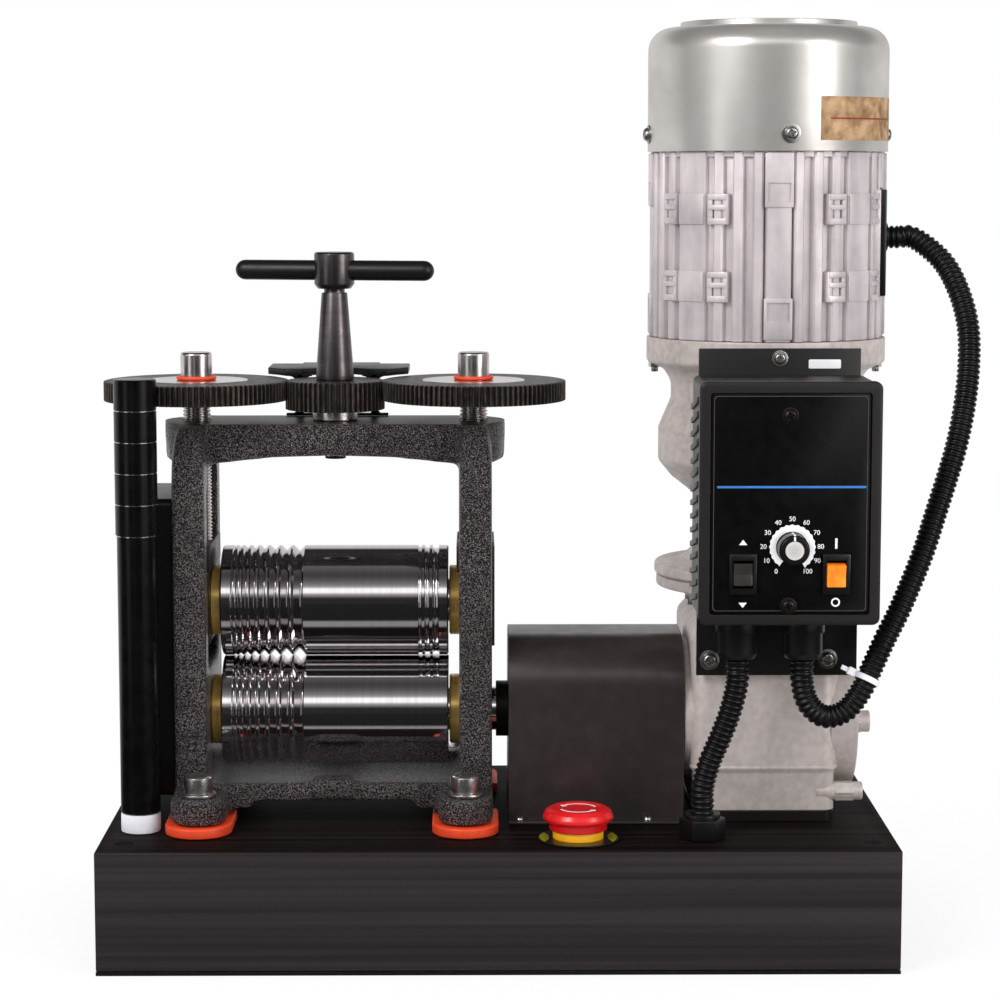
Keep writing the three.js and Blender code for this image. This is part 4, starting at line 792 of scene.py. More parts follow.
def footOutline(sy, radius, tail, steps):
    # round at its outer end, straight back to its tail
    start = 0 if sy > 0 else 180
    end = arc((0, feet["y"] * sy), radius, start, start + 180, steps)
    return [*end, (-radius * sy, tail * sy), (radius * sy, tail * sy)]


def makeFrame():
    half, reach = casting["yoke"]
    extra = [plate([arc((half, 0), reach, -90, 90, 24) + arc((-half, 0), reach, 90, 270, 24)],
                   casting["yokeZ"], edge=0.2)]
    for sx, sy in fourSigns:
        foot = plate([footOutline(sy, casting["footRadius"], 46, 20)], casting["footZ"], edge=1.2)
        ear = block(sorted((sx * 46, sx * 62)), sorted((41 * sy, 50 * sy)), (9.5, 22), 0)
        extra += [moved(foot, sx * feet["x"]), ear, moved(columnTop(sy), sx * casting["columnX"])]
    made = worked(
        joined(copyOf("mill_frame"), moved(joined(*extra), millX)),
        ("REMESH", {"mode": "VOXEL", "voxel_size": casting["voxel"] * mm}),
        ("SMOOTH", {"factor": 0.5, "iterations": casting["smoothing"]}),
    )
    top = block((millX - 120, millX + 120), (-60, 60), (casting["top"], 260), 0)
    window = plate([roundedBox(*casting["window"])], (millX - 95, millX + 95), "X", 0.01, 1)
    bores = [rod(casting["screwHole"], (190, 230), (millX + s * adjust["centre"], 0)) for s in (-1, 1)]
    bores += [rod(casting["boltHole"], (0, 30), (millX + sx * feet["x"], sy * feet["y"]), sides=32)
              for sx, sy in fourSigns]
    bores.append(rod(casting["spindleHole"], (190, 230), (millX, 0)))
    lower = rod(casting["rollHole"], (millX - 96, millX + 96), (0, rolls["lowerZ"]), "X", 64)
    made = carved(made, top, window, joined(*bores), lower, solver="MANIFOLD")
    piece("frameCasting", made, hammered, "mill_frame", crease=40)


# Foot pads and frame bolts

def makeFeet():
    radius = feet["padRadius"]
    low, high, wide = feet["washer"]
    head, tall = feet["head"]
    top, socket = high + tall, feet["socket"]
    for sx, sy in fourSigns:
        name = ("front_" if sy < 0 else "rear_") + ("left" if sx < 0 else "right")
        at = (millX + sx * feet["x"], sy * feet["y"])
        outline = filleted(footOutline(sy, radius, 32.5, 32), 1.5, 2, True)
        pad = moved(plate([outline], feet["pad"], edge=1.1, steps=3), at[0])
        piece("footPad_" + name, pad, padOrange, "foot_pad_" + name)
        ring = lathe([(5.2, low), (wide, low), (wide, high), (5.2, high)], at, sides=48, steps=2, loop=True)
        line = [(0, -15), (5, -15), (5, high - 0.2), (head - 0.5, high + 0.05), (head, high + 0.6),
                (head, top - 0.9, 0.4), (head - 1, top, 0.4), (0, top)]
        bolt = lathe(line, at, sides=48, edge=0.2, steps=2)
        key = turned([(0, top - 6), (socket, top - 5), (socket, top + 2), (0, top + 2)], at, sides=6)
        piece("frameBolt_" + name, joined(carved(bolt, key), ring), screwSteel, "frame_bolt_" + name)


makeFrame()
makeFeet()
print("base, frame and feet made")

# Rolls, bushes and chocks

def rollProfile(left, right, withHalfRounds):
    radius, half, journal = rolls["radius"], rolls["half"], rolls["journal"]
    chamfer, bevel = rolls["chamfer"], rolls["bevel"]
    line = [(0, left), (journal - 0.6, left), (journal, left + 0.6), (journal, -half),
            (radius - chamfer, -half), (radius, chamfer - half)]
    count, middle, narrow, step, land = rolls["wire"]
    for i in range(count):
        own = (narrow + i * step) / 2
        line += [(radius, middle - own - bevel), (radius - bevel, middle - own + bevel / 2),
                 (radius - own, middle), (radius - bevel, middle + own - bevel / 2),
                 (radius, middle + own + bevel)]
        middle += 2 * own + step / 2 + land
    count, middle, narrow, step, land = rolls["halfRound"]
    for i in range(count if withHalfRounds else 0):
        own = (narrow + i * step) / 2
        line += [(v, u) for u, v in arc((middle, radius), own, 180, 360, 10)]
        middle += 2 * own + step / 2 + land
    line += [(radius, half - chamfer), (radius - chamfer, half), (journal, half), (journal, right - 0.6),
             (journal - 0.6, right), (0, right)]
    return [(r, along + millX) for r, along in line]


def makeRolls():
    for level, right, owner in (("lower", 120.1, "root"), ("upper", 89.2, "carriage")):
        z = rolls[level + "Z"]
        made = turned(rollProfile(-113.5, right, level == "upper"), (0, z), "X", 128)
        piece(level + "Roll", made, rollSteel, level + "_roll", body=level + "_roll_set", crease=20)
        for side, s in bothSides:
            line = [(12.8, 65), (19.2, 65), (20, 65.8), (20, 70.4), (17, 70.4), (17, 87.6), (16.4, 88.2),
                    (12.8, 88.2)]
            ring = turned([(r, millX + s * x) for r, x in line], (0, z), "X", loop=True)
            piece(f"{level}Bush_{side}", ring, bronze, f"{level}_bush_{side}", body=owner)
    for side, _ in bothSides:
        chock = softened(copyOf("upper_chock_" + side), 0.7, 45)
        piece("upperChock_" + side, chock, gearSteel, "upper_chock_" + side, body="carriage")


# Gear cover, spare handle tube

lever = {"at": (-199.3, -60), "radius": 11, "grip": 11.7, "bore": 8.6, "bottom": 11, "top": 252.8, "rings": 5,
         "gripLength": 86.3}


def makeGearCover():
    outer = plate([roundedBox((-40, 46), (15, 184), 4)], (millX - 118.1, millX - 89.5), "X", 0.7)
    inner = plate([roundedBox((-38, 44), (17, 182), 2.5)], (millX - 116.1, millX - 80), "X", 0.05, 1)
    piece("gearCover", carved(outer, inner), sheetBlack, "roll_gear_cover")


def makeLever():
    at, radius, grip, bore = lever["at"], lever["radius"], lever["grip"], lever["bore"]
    bottom, top, low = lever["bottom"], lever["top"], lever["top"] - lever["gripLength"]
    pitch = lever["gripLength"] / lever["rings"]
    line = [(bore, bottom), (radius - 0.5, bottom), (radius, bottom + 0.5), (radius, low - 0.4)]
    for i in range(lever["rings"]):
        start = low + i * pitch
        line += [(grip - 0.7, start), (grip, start + 0.5), (grip, start + pitch - 0.5),
                 (grip - 0.7, start + pitch - 0.05)]
    line += [(grip - 2.2, top), (0, top), (0, top - 4), (bore, top - 4)]
    piece("leverTube", turned(line, at, sides=64, loop=True), gripBlack, "lever_tube", body="lever")
    foot = [(0, -8), (4, -8), (4, 0.3), (11, 0.3, 0.8), (11, 10.7, 0.8), (8.2, 10.7), (8.2, 22), (6.6, 24),
            (0, 24)]
    piece("leverFoot", lathe(foot, at, sides=64), nylon, "lever_foot")
    # bright steel bands in the grooves between the grip rings: a painted highlight of the light that the
    # rings' edges catch
    ring = [(11, low - 0.25), (11.35, low - 0.25), (11.35, low + 0.2), (11, low + 0.2)]
    lines = rowOf(turned(ring, at, sides=64, loop=True), lever["rings"], (0, 0, pitch), brightSteel)
    piece("leverLines", lines, brightSteel, body="lever", slot="plated_steel")


# Roll adjustment: screws, toothed wheels, rings, spindle and tee bar

def toothed(teeth, low, high, hole, middle, start):
    tip = adjust["module"] * (teeth / 2 + 1)
    root = adjust["module"] * (teeth / 2 - 1.25)
    pitch = 2 * math.pi * root / teeth
    rim = [(hole, low), (root - 0.5, low), (root, low + 0.5), (root, high - 0.5), (root - 0.5, high),
           (hole, high)]
    disc = turned(rim, middle, sides=144, loop=True)
    wide, slim = pitch * 0.36, pitch * 0.13
    rows = [(root - 0.8, wide, 0.0), (root + 0.4, wide, 0.0), (tip - 0.25, slim, 0.3), (tip, slim * 0.6, 0.6)]
    tooth = loft([[(r, -w, low + c), (r, w, low + c), (r, w, high - c), (r, -w, high - c)]
                  for r, w, c in rows])
    return joined(disc, ringOf(tooth, teeth, middle, gearSteel, start))


def makeScrew(side, s):
    top, bottom, foot, teeth = adjust["top"], adjust["bottom"], adjust["screwFoot"], adjust["wheelTeeth"]
    middle, thick = adjust["ring"]
    at, body = (millX + s * adjust["centre"], 0), side + "_screw"
    wheel = toothed(teeth, bottom, top, 29.6, at, 180 / teeth)
    piece("adjustingWheel_" + side, wheel, gearSteel, "adjusting_gear_" + side, body=body)
    line = [(0, foot), (6.6, foot), (7.2, foot + 0.6)]
    z = foot + 1.1
    while z < bottom - 2.2:
        line += [(8, z), (8, z + 0.3), (7.1, z + 1), (7.1, z + 1.3)]
        z += 2
    line += [(8, bottom), (29, bottom), (29.3, bottom + 0.3), (29.3, top - 0.1), (29.1, top + 0.15),
             (9, top + 0.15)]
    cap = top + adjust["capHeight"]
    line += filleted([(9, top + 0.15), (9, cap, 1.9), (0, cap)], 1, 5)[1:]
    piece("pressureScrew_" + side, turned(line, at), brightSteel, "pressure_screw_" + side, body=body)
    ring = turned(circle((middle, top + 0.3 + thick), thick, 16), at, sides=64, loop=True)
    piece("screwRing_" + side, ring, padOrange, "screw_ring_" + side, body=body)


def makeAdjustment():
    for side, s in bothSides:
        makeScrew(side, s)
    at, z, about = (millX, 0), adjust["teeZ"], (millX, 0, adjust["teeZ"])
    pinion = toothed(adjust["pinionTeeth"], adjust["pinionBottom"], adjust["top"], 8.3, at, 0)
    piece("pinion", pinion, gearSteel, "pinion", body="handle")
    line = [(0, 203), (6, 203), (6, 231), (8, 231), (8, 248.1), (10.6, 248.1), (10.8, 248.4, 0.1),
            (10.8, 250.8), (7.3, 297.4), (5.9, 297.6), (5.9, 299.8), (9.4, 299.8), (11.4, 302.4),
            (11.4, 319.4, 0.5), (10.4, 320.4, 0.4), (0, 320.4)]
    ends = [(0, -58)] + [(v, -52.3 - u) for u, v in arc((0, 0), 5.7, 15, 90, 5)]
    hole = rod(6, (-20, 20), (0, z), "X", 48)
    bar = turned(ends + [(r, -x) for r, x in reversed(ends)], (0, z), "X", 48)
    hole, bar = (moved(moved(mesh, millX), turn=adjust["teeTurn"], about=about) for mesh in (hole, bar))
    piece("spindle", carved(lathe(line, at, edge=0.25, steps=2), hole), spindleSteel, "handle_spindle",
          body="handle")
    piece("teeBar", bar, teeBlack, "tee_bar", body="handle")
    bush = [(6.4, 205), (9.5, 205), (9.5, 225.3), (12.6, 225.3), (13, 225.7), (13, 230.3), (12.6, 230.7),
            (6.4, 230.7)]
    piece("spindleBush", turned(bush, at, sides=64, loop=True), brightSteel, "spindle_bush", slot="bronze")


meshGuard = {"plateZ": 248.2, "legX": (19.5, 23), "legY": (23.5, 28.5), "footTop": 226.7, "curve": 5}


def makeMeshGuard():
    # each leg widens in a curve towards the plate and towards its foot
    (x0, x1), low = meshGuard["legX"], meshGuard["plateZ"]
    foot, bend = meshGuard["footTop"], meshGuard["curve"]
    under = low - bend
    line = [(x0, foot), (x0, under), *arc((x0 - bend, under), bend, 0, 90, 6), (x0 - bend, low + 1),
            (x1 + bend, low + 1), *arc((x1 + bend, under), bend, 90, 180, 6), (x1, foot + 2), (x1 + 2, foot),
            (x1 + 2, foot - 1), (x0, foot - 1)]
    legs = [moved(plate([[(s * u, v) for u, v in line][::s]], meshGuard["legY"], "Y", 0.3), millX)
            for s in (-1, 1)]
    piece("meshGuard", joined(softened(copyOf("mesh_guard"), 0.6, 30), *legs), sheetBlack, "mesh_guard")


makeRolls()
makeGearCover()
makeLever()
makeAdjustment()
makeMeshGuard()
print("mill made")

# Coupling and its guard

guard = {"x": (6.1, 105.1), "half": 42, "height": 104, "bend": 28, "wall": 2, "lip": 45.6,
         "screws": (12.3, 84.5)}


def guardSection(inset, foot):
    half, height, bend = guard["half"] - inset, guard["height"] - inset, guard["bend"] - inset
    right = arc((half - bend, height - bend), bend, 0, 90, 20)
    left = arc((bend - half, height - bend), bend, 90, 180, 20)
    return [(half, foot), *right, *left, (-half, foot)]


def makeGuard():
    (x0, x1), wall, z = guard["x"], guard["wall"], rolls["lowerZ"]
    outer = plate([guardSection(0, 0.3)], (x0, x1), "X", 0.35)
    inner = plate([guardSection(wall, -3)], (x0 + wall, x1 + 6), "X", 0.05, 1)
    hole = rod(17.5, (x0 - 3, x0 + 5), (0, z), "X", 64)
    lips = [block((x0, x1), (y - 4, y + 4), (0.4, 1.9), 0.5) for y in (-guard["lip"], guard["lip"])]
    piece("couplingGuard", joined(carved(outer, inner, hole), *lips), guardBlack, "coupling_guard")
    places = [((x, s * guard["lip"], 1.9), (0, 0, 1), 1.0, 20 * x) for x in guard["screws"] for s in (-1, 1)]
    fastened("guardScrews", panHead(2.4, 2.3), places)
    line = [(12.8, -0.8), (16, -0.8, 0.5), (16, 58.2, 0.5), (12.8, 58.2)]
    sleeve = lathe(line, (0, z), "X", 64, 0.1, 2, True)
    piece("coupling", sleeve, gearSteel, "drive_coupling", body="lower_roll_set")


# Gearbox

gearbox = {"x": (109, 192), "y": (-44, 86), "foot": 6.3, "neck": 46, "disc": (44, 203.5),
           # from the foot up: inset, corner radius and height
           "levels": ((2.4, 6, 6.3), (1.5, 6, 7.1), (1.5, 6, 27.4), (1.2, 6.4, 28.6), (-0.5, 8, 30.8),
                      (-0.6, 8.4, 31.6), (0, 8.4, 32.6), (0, 10, 102), (0.5, 11, 105.2), (2.6, 14, 109),
                      (8, 26, 118)),
           "studs": ((-30, 55.6, 6.5, 206, 211), (-37.5, 17, 5.5, 201.5, 206.5)), "plugs": (118.6, 184.8)}


def makeGearbox():
    (x0, x1), (y0, y1), foot, neck = gearbox["x"], gearbox["y"], gearbox["foot"], gearbox["neck"]
    at, z = (driveX, driveY), rolls["lowerZ"]

    def level(inset, radius, z):
        return ringAt(roundedBox((x0 + inset, x1 - inset), (y0 + inset, y1 - inset), radius, 8), z)

    rings = [level(*values) for values in gearbox["levels"]]
    square = roundedBox((driveX - neck, driveX + neck), (driveY - neck, driveY + neck), neck, 8)
    body = loft(rings + [ringAt(square, z) for z in (125.2, 128.2)])
    band = [level(2, 6, 0.3), level(1.6, 6, 0.7), level(1.6, 6, foot - 0.3), level(2, 6, foot)]
    piece("gearboxFoot", loft(band), sheetBlack)
    radius, face = gearbox["disc"]
    parts = [
        body,
        lathe([(0, 127.2), (62, 127.2), (62, 133.4), (0, 133.4)], at, sides=96, edge=1.2, steps=4),
        plate([circle((0, z), 41, 64)], (105.4, 112), "X", 1.2, 3),
        lathe([(0, 188), (radius, 188), (radius, face, 1.6), (0, face)], (0, z), "X", 96, 0.5, 4),
    ]
    for y, z, r, neckX, endX in gearbox["studs"]:
        thin = r * 0.94
        parts += [
            lathe([(0, 180), (r, 180), (r, 191, 2), (0, 191)], (y, z), "X", 40, 0.4),
            plate([circle((y, z), r * 1.06, 6)], (191, neckX), "X", 0.5),
            lathe([(0, 190), (thin, 190), (thin, endX, 0.6), (0, endX)], (y, z), "X", 40, 0.4),
        ]
    for x in gearbox["plugs"]:
        parts.append(lathe([(0, -47.8), (6, -47.8), (7.5, -40), (0, -40)], (x, 94), "Y", 40, 0.5, 2))
    piece("gearbox", joined(*parts), castAluminium, "gearbox_housing", crease=28)
    places = [
        ((*point, z), (0, 0, -1), size, spin)
        for reach, start, z, size, spin in ((56, 38, 127.3, 1.0, 30), (63.9, 0, 256.6, 0.8, 10))
        for point in arc(at, reach, start, start + 270, 3)
    ]
    shank = lathe([(0, 3), (2.6, 3), (2.6, 7, 0.5), (0, 7)], sides=24)
    fastened("flangeBolts", joined(plate([circle((0, 0), 4.4, 6)], (-1.5, 3.6), edge=0.4), shank), places)


# Motor

motor = {"body": (271.7, 376.6), "pad": ((-9, 51), (295.7, 355.7)), "lugs": ((346, 30, 3), (273, 23, 10)),
         "clamps": (336.5, 293.5),
         "bell": [(0, 133.7), (61.6, 133.7), (63.2, 135.2, 1), (63.2, 140.5, 2), (48, 142.5, 6), (40, 150, 8),
                  (40, 180, 10), (54, 191, 8), (61.4, 200, 6), (61.4, 219, 2), (60.4, 221.4, 2),
                  (54.3, 236, 6), (54.3, 246, 10), (59, 253, 6), (68.5, 257.4, 3), (68.5, 271.4, 0.6),
                  (0, 271.4)]}
fanCover = {"radius": 68.5, "foot": 376.9, "face": 446.8, "top": 450, "corner": 13, "lip": 50.2, "wall": 1.4,
            "screwZ": 386.6, "screwTurn": -85, "labelTurn": (-70.7, -4), "labelZ": (382.9, 406.9)}


def motorSection():
    fin = [(-3.4, 62.3), (-2.8, 65.3), (-1.9, 66.3), (1.9, 66.3), (2.8, 65.3), (3.4, 62.3)]
    pad = [(-7.6, 62.4), (-6.9, 66.1), (-6.3, 66.7), (6.3, 66.7), (6.9, 66.1), (7.6, 62.4)]
    flat = [(-9.8, 62.8), (-9.3, 65.4), (-8.8, 65.9), (8.8, 65.9), (9.3, 65.4), (9.8, 62.8)]
    outline = []
    for quarter in (0, 90, 180, 270):
        for angle, line in {0: pad, 10: fin, 20: fin, 30: fin, 45: flat, 60: fin, 70: fin, 80: fin}.items():
            c, s = math.cos(math.radians(angle + quarter)), math.sin(math.radians(angle + quarter))
            outline += [(driveX + r * c - t * s, driveY + r * s + t * c) for t, r in line]
    return outline


def around(mesh, angle):
    # drawn to the right of the origin, set round the drive's upright axis
    return moved(moved(mesh, driveX, driveY), turn=angle, about=(driveX, driveY, 0))


def makeMotor():
    at, (padY, padZ) = (driveX, driveY), motor["pad"]
    piece("motorBell", lathe(motor["bell"], at, sides=112, edge=1, steps=5), castAluminium, "motor_bell",
          crease=26)
    face = block((216.4, 230), (padY[0] - 1, padY[1] + 1), (padZ[0] - 1, padZ[1] + 1), 0)
    parts = [carved(plate([motorSection()], motor["body"], edge=0.5), face),
             rod(65, (374, 381), at, sides=64), block((200, 216.4), padY, padZ, 0.4)]
    for quarter in (0, 90, 180, 270):
        for low, height, up in motor["lugs"]:
            lug = block((64, 67.6), (-7.9, 7.9), (low, low + height), 0.5)
            pocket = block((65.6, 70), (-6.2, 6.2), (low + up, low + up + 10.6), 0.3, 1)
            parts.append(around(carved(lug, pocket), quarter))
        for angle in (30, 60):
            for low in motor["clamps"]:
                bars = [block((60, 67.6), (-5.6, 5.6), (low + a, low + b), 0.5)
                        for a, b in ((0, 3.6), (8, 11), (13.6, 17))]
                bars += [block((60, 66.9), sorted((s * 3.2, s * 6.2)), (low, low + 17), 0.4) for s in (-1, 1)]
                parts.append(around(joined(*bars), quarter + angle))
        for low in motor["clamps"]:
            parts.append(around(block((64, 66.8), (-8.9, 8.9), (low, low + 17), 0.3), quarter + 45))
    piece("motorBody", joined(*parts), motorAluminium, "motor_body", crease=28)
    lid = block((216.7, 219.8), padY, padZ, 0.7)
    boss = lathe([(0, 219), (8, 219), (8, 221.8, 0.5), (0, 221.8)], (4, 328.7), "X", 40, 0.4)
    piece("terminalCover", joined(lid, boss), softBlack, "terminal_cover")


def makeFanCover():
    at, foot, face, top = (driveX, driveY), fanCover["foot"], fanCover["face"], fanCover["top"]
    lip, radius, corner, wall = fanCover["lip"], fanCover["radius"], fanCover["corner"], fanCover["wall"]
    raised = [(lip + 2, face), (lip, face, 0.8), (lip, top, 0.7), (lip - 1.5, top, 0.7),
              (lip - 1.5, face, 0.6), (0, face)]
    bend = (radius - corner, face - corner)
    outer = [(radius - wall, foot), (radius - 0.3, foot), (radius, foot + 0.3), *arc(bend, corner, 0, 84, 12),
             *filleted(raised, 0.5)]
    inner = [(0, face - wall), *reversed(arc(bend, corner - wall, 0, 90, 12))]
    openings = ringOf(block((18, 46), (-2, 2), (face - 5, face + 5), 0), 8, at, zincSheet)
    cover = turned(outer + inner, at, sides=160, loop=True)
    piece("fanCover", carved(cover, openings), zincSheet, "fan_cover")
    places = []
    for i in range(4):
        a = math.radians(fanCover["screwTurn"] + 90 * i)
        place = (driveX + radius * math.cos(a), driveY + radius * math.sin(a), fanCover["screwZ"])
        places.append((place, (math.cos(a), math.sin(a), 0), 1.0, 25))
    fastened("fanCoverScrews", joined(washer(5.4, 0.8), panHead(3.9, 2.6, 0.7)), places)
    (start, end), (low, high) = fanCover["labelTurn"], fanCover["labelZ"]

    def patch(thick, start, end, heights):
        outline = arc(at, radius + 0.02, start, end, 24) + arc(at, radius + thick, end, start, 24)
        return loft([ringAt(outline, z) for z in heights])

    middle = (low + high) / 2
    piece("fanCoverLabel", patch(0.14, start, end, (low, high)), labelTan)
    piece("labelLine", patch(0.2, start + 5, end - 4, (middle - 0.45, middle + 0.45)), printRed)


makeGuard()
makeGearbox()
makeMotor()
makeFanCover()
print("drive made")

# Control box

box = {"x": (107, 204.6), "y": (-111, -50.4), "z": (123.8, 254.8), "rim": 6, "panelFront": -109.6,
       "rockers": (130.8, 180.9), "rockerZ": 151.4, "rockerY": -105.6, "knob": (157, 165.8)}


def boxOutline(inset, radius):
    (x0, x1), (z0, z1) = box["x"], box["z"]
    return roundedBox((x0 + inset, x1 - inset), (z0 + inset, z1 - inset), radius)


def makeControlBox():
    (x0, x1), (y0, y1), low = box["x"], box["y"], box["z"][0]
    rim, front = box["rim"], box["panelFront"]
    piece("controlBracket", block((111, 200.8), (-50.1, -48.1), (85.6, 268.7), 0.5), sheetBlack,
          "control_bracket")
    shell = carved(
        plate([boxOutline(0, 4)], (y0, y0 + 8), "Y", 1.4, 3),
        plate([boxOutline(1, 3)], (y0 + 1, y1), "Y", 0.5), operation="UNION",
    )
    opening = plate([boxOutline(rim - 0.3, 2)], (y0 - 4, y0 + 3.7), "Y", 0.02, 1)
    cavity = plate([boxOutline(8, 2)], (y0 + 2, y1 - 3), "Y", 0.02, 1)
    rib = block((x0 - 0.6, x0 + 1.6), (y0 + 11, y1 - 4), (low + 9, low + 12), 0.4)
    rib = moved(rib, turn=-10, axis="X", about=(x0, (y0 + y1) / 2 + 4, low + 10.5))
    left = rowOf(rib, 15, (0, 0, 7.6), boxPlastic)
    right = moved(left, turn=180, about=((x0 + x1) / 2, (y0 + y1 + 7) / 2, 0))
    piece("controlBox", joined(carved(shell, opening, cavity), left, right), boxPlastic, "control_box")
    z = box["rockerZ"]
    bezels = [block((x - 7.5, x + 7.5), (-111.2, -109), (z - 11, z + 11), 0.6) for x in box["rockers"]]
    holes = [block((x - 5.3, x + 5.3), (-115, -100), (z - 7.5, z + 7.5), 0) for x in box["rockers"]]
    panel = plate([boxOutline(rim, 2)], (front, front + 2), "Y", 0.15, 1)
    piece("controlPanel", carved(panel, *holes), panelBlack, "control_panel")
    piece("switchBezels", joined(*[carved(*pair) for pair in zip(bezels, holes)]), softBlack)


def makeSwitches():
    y, z, half = box["rockerY"], box["rockerZ"], 6
    section = [(4, -2.5), (4, 2.5), (-1, half), (-7.2, half), (-5.8, 0), (-7.2, -half), (-1, -half)]
    outline = [(y + u, z + v) for u, v in filleted(section, 0.6, 3, True)]
    for kind, x, tilt, finished in zip(("direction", "power"), box["rockers"], (0, 8),
                                       (rockerBlack, lampOrange)):
        made = moved(plate([outline], (x - 5, x + 5), "X", 0.4), turn=tilt, axis="X", about=(x, y, z))
        piece(kind + "Rocker", made, finished, kind + "_rocker", body=kind + "_switch")
    x, z = box["knob"]
    cap = lathe([(0, -123.3), (5, -123.3, 0.4), (5, -122.6), (0, -122.6)], (x, z), "Y", 64)
    piece("knobCap", cap, capSteel, body="knob")
    mark = block((x - 0.5, x + 0.5), (-123.15, -122.6), (z + 5.3, z + 7.4), 0)
    side = block((x - 0.5, x + 0.5), (-122.8, -111), (z + 7.9, z + 8.35), 0)
    piece("knobMark", joined(mark, side), printWhite, body="knob")
    line = [(0, -122.9), (7.4, -122.9, 0.6), (8.2, -121.5, 0.6), (8.2, -109.9), (3, -109.9), (3, -101.6),
            (0, -101.6)]
    piece("speedKnob", lathe(line, (x, z), "Y", 64), softBlack, "speed_knob", body="knob")


# Prints, labels and the screws beside them

marks = {"front": -109.6, "thick": 0.12, "dialRadius": 15.4, "dialStart": 237, "dialStep": -29.4,
         "digits": 2.6, "ring": (8.6, 11.6), "tail": 14.6, "bumps": 20, "line": (116.6, 196.4, 198.4),
         "frame": 1.6, "on": (180.7, 168.0), "off": (180.7, 136.2),
         "arrows": ((130.8, 167.6, 1), (130.8, 135.6, -1)), "screws": ((155.3, 236.6), (155.3, 134.2))}
bracket = {"face": -50.1, "screws": ((155.9, 263.2, 0.8, 5), (118.3, 94.4, 1, 30), (184.5, 95, 1, 70)),
           "label": ((171.8, 189.6), (257.6, 262.6), 0.7)}


def printed(*outlines):
    return plate(outlines, (marks["front"] - marks["thick"], marks["front"] + 0.05), "Y", 0.01, 1)


def stripe(x, z, halfX, halfZ):
    return printed([(x - halfX, z - halfZ), (x + halfX, z - halfZ), (x + halfX, z + halfZ),
                    (x - halfX, z + halfZ)])


def numeral(words, x, z):
    curve = bpy.data.curves.new("numeral", "FONT")
    curve.body, curve.size, curve.extrude = words, marks["digits"] * 1.4, marks["thick"] / 2
    curve.align_x, curve.align_y = "CENTER", "CENTER"
    return placed(evaluated(held(curve)),
                  lambda p: (p.x + x, marks["front"] - marks["thick"] / 2 - p.z, p.y + z))


def dialRing():
    # a scalloped band round the knob, wider towards the high numbers
    inside, outside = marks["ring"]
    end = marks["dialStart"] + 10 * marks["dialStep"]
    outline = []
    for i in range(180):
        along = (marks["dialStart"] - 2 * i) % 360 / (-10 * marks["dialStep"])
        if along <= 1:
            reach = outside + 0.8 * along + 0.5 * math.cos(marks["bumps"] * math.pi * along) ** 2
            outline.append((along, arc((0, 0), reach, 2 * i, 2 * i, 1)[0]))
    outline = [point for along, point in sorted(outline)] + arc((0, 0), marks["tail"], end, end, 1)[:1]
    outline += arc((0, 0), inside, end, marks["dialStart"], 60)
    return printed([(box["knob"][0] + u, box["knob"][1] + v) for u, v in outline])


def makePrints():
    dial = arc(box["knob"], marks["dialRadius"], marks["dialStart"],
               marks["dialStart"] + 10 * marks["dialStep"], 10)
    parts = [numeral(str(10 * i), *point) for i, point in enumerate(dial)]
    parts += [dialRing(), stripe(*marks["on"], 0.6, 2.8),
              printed(*[circle(marks["off"], r, 32) for r in (2.4, 1.6)])]
    for x, z, s in marks["arrows"]:
        parts.append(printed([(x - 2.2, z - s * 0.4), (x + 2.2, z - s * 0.4), (x, z + s * 2.4)][::s]))
    piece("panelPrint", joined(*parts), printWhite)
    x0, x1, z = marks["line"]
    piece("panelLine", stripe((x0 + x1) / 2, z, (x1 - x0) / 2, 0.6), printBlue)
    # a thin grey ring just inside the panel's rim, a painted highlight of the rim's inner bevel
    inset = box["rim"] + marks["frame"]
    piece("panelFrame", printed(boxOutline(inset, 2), boxOutline(inset + 0.35, 2)), paintedRimHighlight)
    places = [((x, marks["front"], z), (0, -1, 0), 1.0, 15) for x, z in marks["screws"]]
    head = joined(washer(4.6, 0.7, -0.3), panHead(3.7, 2.4, 0.6))
    piece("panelScrews", setAt(head, places, darkScrew), darkScrew, crease=25)
    places = [((x, bracket["face"], z), (0, -1, 0), size, turn) for x, z, size, turn in bracket["screws"]]
    fastened("bracketScrews", joined(washer(5.6, 0.9, -0.3), panHead(4.2, 2.8, 0.8)), places)
    label = plate([roundedBox(*bracket["label"])], (bracket["face"] - 0.2, bracket["face"] + 0.05), "Y", 0.05,
                  1)
    piece("bracketLabel", label, printWhite)


# Glands and the hose's tie

def makeGlands():
    line = [(0, 101), (9.7, 101), (11, 104, 1), (11, 115.5), (12.2, 115.5, 0.4), (12.2, 123.5, 0.4),
            (8, 123.5), (8, 130.5), (0, 130.5)]
    for kind in ("base", "motor"):
        at = hoses[kind][0][:2]
        piece(kind + "HoseGland", lathe(line, at, sides=48, edge=0.4), softBlack, kind + "_hose_gland")
    at = hoses["base"][-1][:2]
    neck = lathe([(0, 11), (10, 11), (10, 14.5, 1), (0, 14.5)], at, sides=48, edge=0.5)
    piece("baseGland", joined(plate([circle(at, 12.8, 6)], (0.3, 11.7), edge=0.8), neck), softBlack,
          "base_gland")


